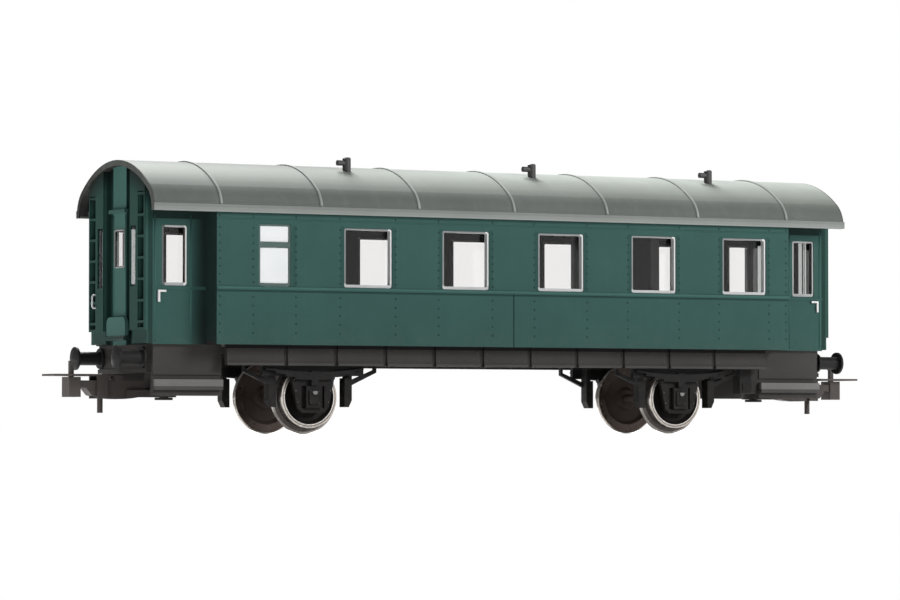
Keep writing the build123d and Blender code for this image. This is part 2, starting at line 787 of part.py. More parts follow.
# Roof: barrel shell with gutters, raised seams and a ledge that rests on the side walls
main_half = side_end + seat_fit
with BuildPart() as roof:
    with BuildSketch(Plane.YZ.offset(-roof_length / 2)):
        make_face(arch(0))
        for s in (-1, 1):
            with Locations((s * (roof_half + gutter_out / 2), gutter_foot + gutter_height / 2)):
                Rectangle(gutter_out, gutter_height)
        make_face(arch(roof_wall), mode=Mode.SUBTRACT)
    extrude(amount=roof_length)
    with BuildSketch(Plane.YZ.offset(-main_half)):
        make_face(arch(0))
        Rectangle(2 * side_in, 4 * roof_top, mode=Mode.SUBTRACT)
    extrude(amount=2 * main_half)
    with BuildSketch(Plane.YZ.offset(-main_half)):
        with Locations((0, (gutter_foot + side_top) / 2)):
            Rectangle(2 * (side_face + seat_fit), side_top - gutter_foot)
    extrude(amount=2 * main_half, mode=Mode.SUBTRACT)
    seam_pitch = (roof_length - 2 * seam_inset) / (seam_count - 1)
    for seam in range(seam_count):
        seam_x = seam_pitch * (seam - (seam_count - 1) / 2)
        with BuildSketch(Plane.YZ.offset(seam_x - seam_w / 2)):
            make_face(arch(-seam_out))
            make_face(arch(roof_wall / 2), mode=Mode.SUBTRACT)
            with Locations((0, gutter_foot + gutter_height / 2)):
                Rectangle(4 * roof_half, gutter_height, mode=Mode.SUBTRACT)
        extrude(amount=seam_w)
roof.part.label = "roof"
export_step(roof.part, "parts/roof.step")

# Ventilators: a stem with a cap on the left slope of the roof, and an arm to one side
vent_drop = crown_r - sqrt(crown_r * crown_r - vent_y * vent_y)
vent_z = roof_top - vent_drop
vent_sink = (vent_d / 2) * abs(vent_y) / sqrt(crown_r * crown_r - vent_y * vent_y)
with BuildPart() as vents:
    for vent in range(vent_count):
        x = vent_x + vent_pitch * (vent - (vent_count - 1) / 2)
        with BuildSketch(Plane.XY.offset(vent_z - 2 * vent_sink)):
            with Locations((x, vent_y)):
                Circle(vent_d / 2)
        extrude(amount=vent_height + 2 * vent_sink)
        with BuildSketch(Plane.YZ.offset(x)):
            with Locations((vent_y, vent_z + vent_height - vent_arm_d)):
                Circle(vent_arm_d / 2)
        extrude(amount=-vent_arm)
    chamfer(vents.faces().group_by(Axis.Z)[-1].edges(), vent_d / 8)
    with BuildSketch(Plane.YZ.offset(-roof_length / 2)):
        make_face(arch(-seat_fit))
    extrude(amount=roof_length, mode=Mode.SUBTRACT)
vents.part.label = "roof_ventilators"
export_step(vents.part, "parts/roof_ventilators.step")

# Buffer: pin in the headstock, collar, sleeve and domed head as one turned piece
with BuildPart() as buffer:
    with BuildSketch(Plane.XY.offset(buffer_z)):
        with BuildLine():
            face_x = headstock_x + seat_fit
            head_x0 = face_x + buffer_length - buffer_dome - buffer_head_t
            Polyline(
                (headstock_x - headstock_t, -buffer_y),
                (headstock_x - headstock_t, -buffer_y - buffer_pin_d / 2),
                (face_x, -buffer_y - buffer_pin_d / 2),
                (face_x, -buffer_y - buffer_collar_d / 2),
                (face_x + buffer_collar_t, -buffer_y - buffer_collar_d / 2),
                (face_x + buffer_collar_t, -buffer_y - buffer_sleeve_d / 2),
                (head_x0, -buffer_y - buffer_sleeve_d / 2),
                (head_x0, -buffer_y - buffer_head_d / 2),
                (head_x0 + buffer_head_t, -buffer_y - buffer_head_d / 2),
            )
            dome_r = (buffer_head_d ** 2 / 4 + buffer_dome ** 2) / (2 * buffer_dome)
            dome_x = head_x0 + buffer_head_t + buffer_dome - dome_r
            half_turn = asin(buffer_head_d / 2 / dome_r) / 2
            ThreePointArc(
                (head_x0 + buffer_head_t, -buffer_y - buffer_head_d / 2),
                (dome_x + dome_r * cos(half_turn), -buffer_y - dome_r * sin(half_turn)),
                (dome_x + dome_r, -buffer_y))
            Line((dome_x + dome_r, -buffer_y), (headstock_x - headstock_t, -buffer_y))
        make_face()
    revolve(axis=Axis((0, -buffer_y, buffer_z), (1, 0, 0)))
for end_name, end in ends:
    for side_name, side in sides:
        name = f"buffer_{end_name}_{side_name}"
        solid = carried(buffer.part, end, side)
        with BuildPart() as piece:
            add(solid)
        piece.part.label = name
        export_step(piece.part, f"parts/{name}.step")

# Coupling mount: block under the floor with the upright pin on which the coupling swings
swing_x = headstock_x - swing_back
shank_z = floor_under - shank_drop
shank_top = shank_z + shank_t
with BuildPart() as mount:
    with BuildSketch(Plane.XY.offset(shank_top + seat_fit)):
        with Locations((swing_x, 0)):
            RectangleRounded(mount_length, 2 * mount_half, mount_half / 3)
    extrude(amount=floor_under - shank_top - seat_fit)
    with BuildSketch(Plane.XY.offset(shank_z - seat_fit)):
        with Locations((swing_x, 0)):
            Circle(swing_pin_d / 2)
    extrude(amount=shank_t + 3 * seat_fit)
    with BuildSketch(Plane.XY.offset(shank_z - seat_fit)):
        with Locations((swing_x, 0)):
            Circle(swing_pin_d)
    extrude(amount=-shank_t / 3)
for end_name, end in ends:
    name = f"coupling_mount_{end_name}"
    solid = carried(mount.part, end, -1)
    with BuildPart() as piece:
        add(solid)
    piece.part.label = name
    export_step(piece.part, f"parts/{name}.step")

# Coupling: shank with its eye, cheeks with a curved belly, head with a hook, and the loop's cross pin
cheek_x = headstock_x - cheek_back
cheek_top = shank_z + cheek_height
head_x = headstock_x + head_reach
neck_x = head_x - neck_length
slot_x = headstock_x - slot_back
loop_pivot_x = headstock_x + loop_pivot_reach
loop_pivot_z = shank_z + loop_pivot_rise
loop_split_x = headstock_x + loop_split_reach
loop_tip_x = headstock_x + loop_tip_reach
trip_pin_x = headstock_x + trip_pin_reach
ear_in = loop_barrel_half + seat_fit
with BuildPart() as coupling:
    with BuildSketch(Plane.XY.offset(shank_z)):
        with Locations(((swing_x + slot_x) / 2, 0)):
            Rectangle(slot_x - swing_x, 2 * shank_half)
        with Locations((swing_x, 0)):
            Circle(eye_r)
            Circle(swing_pin_d / 2 + running_fit, mode=Mode.SUBTRACT)
    extrude(amount=shank_t)
    with BuildSketch(Plane.XZ.offset(-cheek_half)):
        with BuildLine():
            Polyline(
                (cheek_x, shank_z + heel),
                (cheek_x, cheek_top),
                (head_x, cheek_top),
                (head_x, cheek_top - neck_height),
                (neck_x, cheek_top - neck_height),
                (neck_x - neck_length, shank_z + heel),
            )
            ThreePointArc(
                (neck_x - neck_length, shank_z + heel),
                ((cheek_x + neck_x - neck_length) / 2, shank_z - belly),
                (cheek_x, shank_z + heel))
        make_face()
    extrude(amount=2 * cheek_half)
    with BuildSketch(Plane.XY.offset(shank_z - belly)):
        with Locations(((slot_x + loop_split_x) / 2, 0)):
            Rectangle(loop_split_x - slot_x, 2 * ear_in)
    extrude(amount=cheek_height + 2 * belly, mode=Mode.SUBTRACT)
    with BuildSketch(Plane.XY.offset(shank_z)):
        with Locations((head_x + head_length / 2, 0)):
            Rectangle(head_length, 2 * head_half)
    extrude(amount=head_height)
    hook_x = head_x + head_length - hook_back
    hook_foot = shank_z + head_height
    hook_top = hook_foot + hook_height
    with BuildSketch(Plane.XZ.offset(-hook_half)):
        with BuildLine():
            Polyline(
                (hook_x, hook_foot),
                (hook_x, hook_top),
                (hook_x - 2 * hook_length, hook_top),
                (hook_x - hook_length, hook_top - hook_length),
                (hook_x - hook_length, hook_foot),
                close=True,
            )
        make_face()
    extrude(amount=2 * hook_half)
    ear_top = loop_pivot_z + loop_pin_d
    with BuildSketch(Plane.XZ.offset(ear_in)):
        with Locations((loop_pivot_x, (shank_top + ear_top) / 2)):
            Rectangle(2 * loop_pin_d, ear_top - shank_top)
    extrude(amount=cheek_half - ear_in)
    mirror(about=Plane.XZ)
    with BuildSketch(Plane.XZ.offset(ear_in)):
        with Locations((loop_pivot_x, loop_pivot_z)):
            Circle(loop_pin_d / 2)
    extrude(amount=-2 * ear_in)
for end_name, end in ends:
    name = f"coupling_{end_name}"
    solid = carried(coupling.part, end, -1)
    with BuildPart() as piece:
        add(solid)
    piece.part.label = name
    export_step(piece.part, f"parts/{name}.step")

# Coupling loop: barrel on the cross pin, strip, forked arms, tip bar, side plates and trip pin
loop_z = shank_z + loop_rise
lever_x = headstock_x + lever_reach
with BuildPart() as loop:
    with BuildSketch(Plane.XY.offset(loop_z)):
        with Locations(((loop_pivot_x + loop_split_x) / 2, 0)):
            Rectangle(loop_split_x - loop_pivot_x, 2 * loop_barrel_half)
        with Locations(((loop_split_x - loop_bar + loop_tip_x) / 2, 0)):
            Rectangle(loop_tip_x - loop_split_x + loop_bar, 2 * loop_half)
            Rectangle(loop_tip_x - loop_split_x - loop_bar, 2 * (loop_half - loop_bar), mode=Mode.SUBTRACT)
        with Locations((lever_x, 0)):
            Rectangle(lever_length, 2 * lever_half)
    extrude(amount=loop_t)
    with BuildSketch(Plane.XY.offset(loop_z)):
        with Locations((lever_x, 0)):
            Rectangle(lever_length, 2 * lever_half)
            Rectangle(lever_length, 2 * (cheek_half + 2 * seat_fit), mode=Mode.SUBTRACT)
    extrude(amount=-lever_drop)
    with BuildSketch(Plane.XZ.offset(-loop_barrel_half)):
        with Locations((loop_pivot_x, loop_pivot_z)):
            Circle(loop_barrel_d / 2)
    extrude(amount=2 * loop_barrel_half)
    with BuildSketch(Plane.XZ.offset(-loop_barrel_half)):
        with Locations((loop_pivot_x, loop_pivot_z)):
            Circle(loop_pin_d / 2 + running_fit)
    extrude(amount=2 * loop_barrel_half, mode=Mode.SUBTRACT)
    with BuildSketch(Plane.XY.offset(loop_z)):
        with Locations((trip_pin_x, 0)):
            Circle(trip_pin_d / 2)
    extrude(amount=-trip_pin_length)
for end_name, end in ends:
    name = f"coupling_loop_{end_name}"
    solid = carried(loop.part, end, -1)
    with BuildPart() as piece:
        add(solid)
    piece.part.label = name
    export_step(piece.part, f"parts/{name}.step")

# Wheelset: axle with journals, two moulded discs and two turned tyres
axle_axis = Axis((axle_x, 0, axle_z), (0, 1, 0))
wheel_plane = Plane((axle_x, 0, axle_z))
tyre_in = tread_r - tyre_depth
journal_start = guard_in - 4 * seat_fit
journal_end = guard_in + journal_length - seat_fit
with BuildPart() as axle:
    with BuildSketch(wheel_plane):
        with BuildLine():
            Polyline(
                (0, -journal_end),
                (journal_d / 2, -journal_end),
                (journal_d / 2, -journal_start),
                (axle_d / 2, -journal_start),
                (axle_d / 2, journal_start),
                (journal_d / 2, journal_start),
                (journal_d / 2, journal_end),
                (0, journal_end),
                close=True,
            )
        make_face()
    revolve(axis=axle_axis)
with BuildPart() as tyres:
    with BuildSketch(wheel_plane):
        with BuildLine():
            Polyline(
                (tyre_in, wheel_back),
                (flange_r - flange_width / 3, wheel_back),
                (flange_r, wheel_back + flange_width / 3),
                (flange_r, wheel_back + 2 * flange_width / 3),
                (tread_r, wheel_back + flange_width),
                (tread_r, wheel_front),
                (tyre_in, wheel_front),
                close=True,
            )
        make_face()
    revolve(axis=axle_axis)
    mirror(about=Plane.XZ)
with BuildPart() as discs:
    with BuildSketch(wheel_plane):
        with BuildLine():
            web_back = wheel_back + (wheel_width - web_width) / 2
            Polyline(
                (axle_d / 2 + press_gap, wheel_back + seat_fit),
                (hub_d / 2, wheel_back + seat_fit),
                (hub_d / 2 + web_width / 2, web_back),
                (tyre_in - web_width / 2, web_back),
                (tyre_in - press_gap, wheel_back + seat_fit),
                (tyre_in - press_gap, wheel_front - 2 * seat_fit),
                (tyre_in - web_width / 2, web_back + web_width),
                (hub_d / 2 + web_width / 2, web_back + web_width),
                (hub_d / 2, wheel_front - 2 * seat_fit),
                (axle_d / 2 + press_gap, wheel_front - 2 * seat_fit),
                close=True,
            )
        make_face()
    revolve(axis=axle_axis)
    mirror(about=Plane.XZ)
for end_name, end in ends:
    for name, master in ((f"axle_{end_name}", axle), (f"tyres_{end_name}", tyres),
                         (f"wheel_discs_{end_name}", discs)):
        solid = carried(master.part, end, -1)
        with BuildPart() as piece:
            add(solid)
        piece.part.label = name
        export_step(piece.part, f"parts/{name}.step")

# Door handles: an upright post and an arm on each vestibule door
with BuildPart() as handles:
    with BuildSketch(Plane.XZ.offset(vest_face + seat_fit)):
        post_x = end_x - handle_x
        handle_z = floor_under + handle_up
        arm_z = handle_z + handle_height
        with Locations((post_x, handle_z + handle_height / 2)):
            Rectangle(handle_t, handle_height)
        with Locations((post_x - handle_arm / 2 + handle_t / 2, arm_z)):
            Rectangle(handle_arm, handle_t)
    extrude(amount=handle_t)
    mirror(about=Plane.XZ)
    mirror(about=Plane.YZ)
handles.part.label = "door_handles"
export_step(handles.part, "parts/door_handles.step")

# Partition across the saloon, ballast plate on the floor and battery box beside the rear left step
with BuildPart() as partition:
    with BuildSketch(Plane.YZ.offset(partition_x - partition_t / 2)):
        with Locations((0, (floor_z + side_top) / 2)):
            Rectangle(2 * (glass_in - seat_fit), side_top - floor_z)
    extrude(amount=partition_t)
partition.part.label = "partition"
export_step(partition.part, "parts/partition.step")

ballast_start = thin_wall + ballast_margin - side_end
ballast_end = partition_x - partition_t / 2 - ballast_margin
with BuildPart() as ballast:
    with BuildSketch(Plane.XY.offset(floor_z)):
        with Locations(((ballast_start + ballast_end) / 2, 0)):
            Rectangle(ballast_end - ballast_start, ballast_width)
    extrude(amount=ballast_t)
ballast.part.label = "ballast_plate"
export_step(ballast.part, "parts/ballast_plate.step")

battery_mid = step_x - 2 * seat_fit - battery_length / 2
with BuildPart() as battery:
    with BuildSketch(Plane.XY.offset(floor_under)):
        with Locations((battery_mid, battery_width / 2 - battery_half)):
            Rectangle(battery_length, battery_width)
    extrude(amount=-battery_drop)
    with BuildSketch(Plane.XZ.offset(battery_half)):
        with Locations((battery_mid, floor_under - battery_drop + battery_lid)):
            Rectangle(battery_length - battery_lid, battery_lid)
    extrude(amount=battery_lid / 8)
battery.part.label = "battery_box"
export_step(battery.part, "parts/battery_box.step")
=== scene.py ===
import json
import math

import bmesh
import bpy
import numpy as np
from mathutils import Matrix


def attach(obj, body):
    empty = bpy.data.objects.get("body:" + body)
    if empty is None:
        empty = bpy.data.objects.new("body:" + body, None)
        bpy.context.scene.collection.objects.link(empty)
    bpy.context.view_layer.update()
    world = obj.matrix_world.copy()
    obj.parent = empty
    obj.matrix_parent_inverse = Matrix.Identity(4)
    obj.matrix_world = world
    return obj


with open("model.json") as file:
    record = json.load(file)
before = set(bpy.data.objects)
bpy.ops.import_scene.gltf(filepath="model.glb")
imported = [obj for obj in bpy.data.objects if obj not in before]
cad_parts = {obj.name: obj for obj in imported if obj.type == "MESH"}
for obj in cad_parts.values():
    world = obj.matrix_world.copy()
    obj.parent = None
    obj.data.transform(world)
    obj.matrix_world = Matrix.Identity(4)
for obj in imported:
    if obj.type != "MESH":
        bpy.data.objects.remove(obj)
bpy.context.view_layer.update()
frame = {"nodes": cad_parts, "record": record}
nodes = frame["nodes"]
mm = 0.001
# the axles' lines, and the line that the roof's crown turns about
gearPlace = {"axleX": 37.9, "axleZ": 6.45, "archZ": 23.8}
bayPitch = 19.633   # from window to window
print("frame loaded:", len(nodes), "nodes")


# shader groups: each is built once and placed in many finishes
def startGroup(name, inputs, outputs):
    tree = bpy.data.node_groups.new(name, "ShaderNodeTree")
    for label, kind, value in inputs:
        socket = tree.interface.new_socket(label, in_out="INPUT", socket_type=kind)
        if value is not None:
            socket.default_value = value
    for label, kind in outputs:
        tree.interface.new_socket(label, in_out="OUTPUT", socket_type=kind)
    entry = tree.nodes.new("NodeGroupInput")
    leave = tree.nodes.new("NodeGroupOutput")
    return tree, entry, leave


def plug(tree, socket, value):
    if isinstance(value, (int, float, tuple)):
        socket.default_value = value
    else:
        tree.links.new(value, socket)


def mathNode(tree, operation, first, second=None, clamp=False):
    node = tree.nodes.new("ShaderNodeMath")
    node.operation = operation
    node.use_clamp = clamp
    plug(tree, node.inputs[0], first)
    if second is not None:
        plug(tree, node.inputs[1], second)
    return node.outputs[0]


def rootSum(tree, first, second):
    # length of a flat vector: the root of its two squares added
    squares = [mathNode(tree, "MULTIPLY", value, value) for value in (first, second)]
    return mathNode(tree, "SQRT", mathNode(tree, "ADD", *squares))


def noiseNode(tree, vector, scale, detail=3.0, rough=0.5):
    node = tree.nodes.new("ShaderNodeTexNoise")
    node.inputs["Detail"].default_value = detail
    node.inputs["Roughness"].default_value = rough
    plug(tree, node.inputs["Scale"], scale)
    tree.links.new(vector, node.inputs["Vector"])
    return node.outputs["Fac"]


def rangeNode(tree, value, low, high, outLow=0.0, outHigh=1.0):
    node = tree.nodes.new("ShaderNodeMapRange")
    for label, number in (("From Min", low), ("From Max", high), ("To Min", outLow), ("To Max", outHigh)):
        plug(tree, node.inputs[label], number)
    plug(tree, node.inputs["Value"], value)
    return node.outputs["Result"]


def mixColour(tree, factor, first, second):
    node = tree.nodes.new("ShaderNodeMix")
    node.data_type = "RGBA"
    sockets = [s for s in node.inputs if s.type == "RGBA"]
    plug(tree, node.inputs["Factor"], factor)
    plug(tree, sockets[0], first)
    plug(tree, sockets[1], second)
    return [s for s in node.outputs if s.type == "RGBA"][0]


def stretched(tree, vector, scale):
    node = tree.nodes.new("ShaderNodeVectorMath")
    node.operation = "MULTIPLY"
    tree.links.new(vector, node.inputs[0])
    node.inputs[1].default_value = scale
    return node.outputs[0]


grainLook = {"scale": 900.0, "finer": 8.0, "shares": (0.6, 0.4), "slower": 0.1, "patch": (0.3, 0.7)}


def makeMouldGrain():
    # moulded skin: two noises added, one much finer, give the height; a slow noise gives soft patches
    tree, entry, leave = startGroup(
        "mouldGrain",
        [("Vector", "NodeSocketVector", None), ("Scale", "NodeSocketFloat", grainLook["scale"])],
        [("Height", "NodeSocketFloat"), ("Patch", "NodeSocketFloat")])
    vector, scale = entry.outputs["Vector"], entry.outputs["Scale"]
    coarse = noiseNode(tree, vector, scale)
    fine = noiseNode(tree, vector, mathNode(tree, "MULTIPLY", scale, grainLook["finer"]), detail=2.0)
    pairs = zip((coarse, fine), grainLook["shares"])
    parts = [mathNode(tree, "MULTIPLY", noise, share) for noise, share in pairs]
    wide = mathNode(tree, "MULTIPLY", scale, grainLook["slower"])
    slow = noiseNode(tree, vector, wide, detail=5.0, rough=0.6)
    tree.links.new(mathNode(tree, "ADD", *parts), leave.inputs["Height"])
    tree.links.new(rangeNode(tree, slow, *grainLook["patch"]), leave.inputs["Patch"])
    return tree


runLook = {"scale": 600.0, "stretch": (1.0, 1.0, 0.08), "kept": (0.5, 0.78)}


def makeRunMarks():
    # faint runs down a wall: noise stretched along the height, of which the higher part is kept
    tree, entry, leave = startGroup(
        "runMarks",
        [("Vector", "NodeSocketVector", None), ("Scale", "NodeSocketFloat", runLook["scale"])],
        [("Mask", "NodeSocketFloat")])
    tall = stretched(tree, entry.outputs["Vector"], runLook["stretch"])
    run = noiseNode(tree, tall, entry.outputs["Scale"], detail=4.0, rough=0.6)
    tree.links.new(rangeNode(tree, run, *runLook["kept"]), leave.inputs["Mask"])
    return tree


dustLook = {"reach": 10.0, "scale": 700.0, "kept": (0.35, 0.7), "rougher": 0.3}


def makeSettledDust():
    # dust that thins out upwards from a height, broken up by noise
    tree, entry, leave = startGroup(
        "settledDust",
        [("Vector", "NodeSocketVector", None), ("Foot", "NodeSocketFloat", 0.0),
         ("Reach", "NodeSocketFloat", dustLook["reach"] * mm)],
        [("Mask", "NodeSocketFloat")])
    axes = tree.nodes.new("ShaderNodeSeparateXYZ")
    tree.links.new(entry.outputs["Vector"], axes.inputs[0])
    top = mathNode(tree, "ADD", entry.outputs["Foot"], entry.outputs["Reach"])
    fade = rangeNode(tree, axes.outputs["Z"], top, entry.outputs["Foot"])
    noise = noiseNode(tree, entry.outputs["Vector"], dustLook["scale"], detail=6.0, rough=0.65)
    broken = rangeNode(tree, noise, *dustLook["kept"])
    tree.links.new(mathNode(tree, "MULTIPLY", fade, broken, clamp=True), leave.inputs["Mask"])
    return tree


ringLook = {"scale": 9000.0, "sideways": 0.3, "tone": (0.3, 0.7)}


def makeTurnedRings():
    # lathe marks: noise of the distance from the axle's line gives fine rings
    tree, entry, leave = startGroup(
        "turnedRings",
        [("Vector", "NodeSocketVector", None), ("Reach", "NodeSocketFloat", gearPlace["axleX"] * mm),
         ("Rise", "NodeSocketFloat", gearPlace["axleZ"] * mm)],
        [("Height", "NodeSocketFloat"), ("Tone", "NodeSocketFloat")])
    axes = tree.nodes.new("ShaderNodeSeparateXYZ")
    tree.links.new(entry.outputs["Vector"], axes.inputs[0])
    away = mathNode(tree, "SUBTRACT", mathNode(tree, "ABSOLUTE", axes.outputs["X"]), entry.outputs["Reach"])
    up = mathNode(tree, "SUBTRACT", axes.outputs["Z"], entry.outputs["Rise"])
    line = tree.nodes.new("ShaderNodeCombineXYZ")
    tree.links.new(rootSum(tree, away, up), line.inputs["X"])
    tree.links.new(mathNode(tree, "MULTIPLY", axes.outputs["Y"], ringLook["sideways"]), line.inputs["Y"])
    ring = noiseNode(tree, line.outputs[0], ringLook["scale"], rough=0.7)
    tree.links.new(ring, leave.inputs["Height"])
    tree.links.new(rangeNode(tree, ring, *ringLook["tone"]), leave.inputs["Tone"])
    return tree


groups = {
    "grain": makeMouldGrain(),
    "runs": makeRunMarks(),
    "dust": makeSettledDust(),
    "rings": makeTurnedRings(),
}
print("shader groups:", len(groups))


def placeAxes(tree, vector):
    split = tree.nodes.new("ShaderNodeSeparateXYZ")
    tree.links.new(vector, split.inputs[0])
    axes = {"x": split.outputs["X"], "y": split.outputs["Y"], "z": split.outputs["Z"]}
    axes["ax"] = mathNode(tree, "ABSOLUTE", axes["x"])
    axes["ay"] = mathNode(tree, "ABSOLUTE", axes["y"])
    rise = mathNode(tree, "SUBTRACT", axes["z"], gearPlace["archZ"] * mm)
    axes["arch"] = rootSum(tree, axes["y"], rise)   # distance from the line the crown turns about
    away = mathNode(tree, "SUBTRACT", axes["ax"], gearPlace["axleX"] * mm)
    lift = mathNode(tree, "SUBTRACT", axes["z"], gearPlace["axleZ"] * mm)
    axes["turn"] = rootSum(tree, away, lift)   # distance from the nearer axle's line
    return axes


def zoneMask(tree, axes, zone):
    # one inside a box of the coach's own axes; ax and ay are distances from its middle
    mask = 1.0
    for axis, (low, high) in zone.items():
        for test, limit in (("GREATER_THAN", low), ("LESS_THAN", high)):
            mask = mathNode(tree, "MULTIPLY", mathNode(tree, test, axes[axis], limit * mm), mask)
    return mask


skinLook = {"bumpDepth": 0.04, "paneDepth": 0.01, "down": -0.05}


def downFaces(tree):
    # one on faces that look down
    face = tree.nodes.new("ShaderNodeNewGeometry")
    way = tree.nodes.new("ShaderNodeSeparateXYZ")
    tree.links.new(face.outputs["True Normal"], way.inputs[0])
    return mathNode(tree, "LESS_THAN", way.outputs["Z"], skinLook["down"])


def placeGroup(tree, key, vector, **values):
    node = tree.nodes.new("ShaderNodeGroup")
    node.node_tree = groups[key]
    tree.links.new(vector, node.inputs["Vector"])
    for label, value in values.items():
        node.inputs[label].default_value = value
    return node.outputs


def startFinish(name):
    mat = bpy.data.materials.new(name)
    mat.use_nodes = True
    tree = mat.node_tree
    vector = tree.nodes.new("ShaderNodeTexCoord").outputs["Object"]
    return mat, tree, tree.nodes["Principled BSDF"], vector


def bumpSkin(tree, shader, height, strength, depth):
    bump = tree.nodes.new("ShaderNodeBump")
    bump.inputs["Strength"].default_value = strength
    bump.inputs["Distance"].default_value = depth * mm
    tree.links.new(height, bump.inputs["Height"])
    tree.links.new(bump.outputs["Normal"], shader.inputs["Normal"])


# what a finish has where its own look doesn't say
plainSkin = {"grain": grainLook["scale"], "bump": 0.15, "gloss": 0.35, "metal": 0.0, "bays": (), "zones": ()}


def finish(name, ownLook):
    # a skin of two near colours in soft patches, with zones (own colours, painted light and painted shade),
    # runs and dust over them, and grain as bump
    look = {**plainSkin, **ownLook}
    mat, tree, shader, vector = startFinish(name)
    axes = placeAxes(tree, vector)
    for label, start, pitch in look["bays"]:
        # distance from the middle of the nearest bay of a row with an even pitch
        shifted = mathNode(tree, "ADD", axes["x"], (pitch / 2 - start) * mm)
        within = mathNode(tree, "FLOORED_MODULO", shifted, pitch * mm)
        axes[label] = mathNode(tree, "SUBTRACT", within, pitch / 2 * mm)
    grain = placeGroup(tree, "grain", vector, Scale=look["grain"])
    height = grain["Height"]
    colour = mixColour(tree, grain["Patch"], (*look["dark"], 1), (*look["light"], 1))
    rough = rangeNode(tree, grain["Patch"], 0, 1, *look["rough"])
    if "rings" in look:
        rings = placeGroup(tree, "rings", vector)
        height = rings["Height"]
        colour = mixColour(tree, rings["Tone"], colour, (*look["rings"], 1))
    for zone in look["zones"]:
        mask = zoneMask(tree, axes, zone["box"])
        for axis, low, high in zone.get("ramps", ()):
            mask = mathNode(tree, "MULTIPLY", mask, rangeNode(tree, axes[axis], low * mm, high * mm))
        if zone.get("under"):
            mask = mathNode(tree, "MULTIPLY", mask, downFaces(tree))
        tint = mixColour(tree, grain["Patch"], (*zone["dark"], 1), (*zone["light"], 1))
        colour = mixColour(tree, mask, colour, tint)
    if "runs" in look:
        share, tint = look["runs"]
        runs = mathNode(tree, "MULTIPLY", placeGroup(tree, "runs", vector)["Mask"], share)
        colour = mixColour(tree, runs, colour, (*tint, 1))
    if "dust" in look:
        share, foot, reach, tint = look["dust"]
        dust = placeGroup(tree, "dust", vector, Foot=foot * mm, Reach=reach * mm)["Mask"]
        dust = mathNode(tree, "MULTIPLY", dust, share)
        colour = mixColour(tree, dust, colour, (*tint, 1))
        more = mathNode(tree, "MULTIPLY", dust, dustLook["rougher"])
        rough = mathNode(tree, "ADD", rough, more, clamp=True)
    tree.links.new(colour, shader.inputs["Base Color"])
    tree.links.new(rough, shader.inputs["Roughness"])
    bumpSkin(tree, shader, height, look["bump"], skinLook["bumpDepth"])
    shader.inputs["Metallic"].default_value = look["metal"]
    shader.inputs["Specular IOR Level"].default_value = look["gloss"]
    return mat


def clearGlass(name, look):
    # clear moulding: light passes, faint waves in the skin, roughness from the same patches
    mat, tree, shader, vector = startFinish(name)
    grain = placeGroup(tree, "grain", vector, Scale=look["grain"])
    colour = mixColour(tree, grain["Patch"], (*look["dark"], 1), (*look["light"], 1))
    strip = zoneMask(tree, placeAxes(tree, vector), look["strip"])
    colour = mixColour(tree, strip, colour, (*look["stripTint"], 1))
    tree.links.new(colour, shader.inputs["Base Color"])
    tree.links.new(rangeNode(tree, grain["Patch"], 0, 1, *look["rough"]), shader.inputs["Roughness"])
    bumpSkin(tree, shader, grain["Height"], look["bump"], skinLook["paneDepth"])
    shader.inputs["Transmission Weight"].default_value = 1.0
    shader.inputs["IOR"].default_value = look["ior"]
    return mat
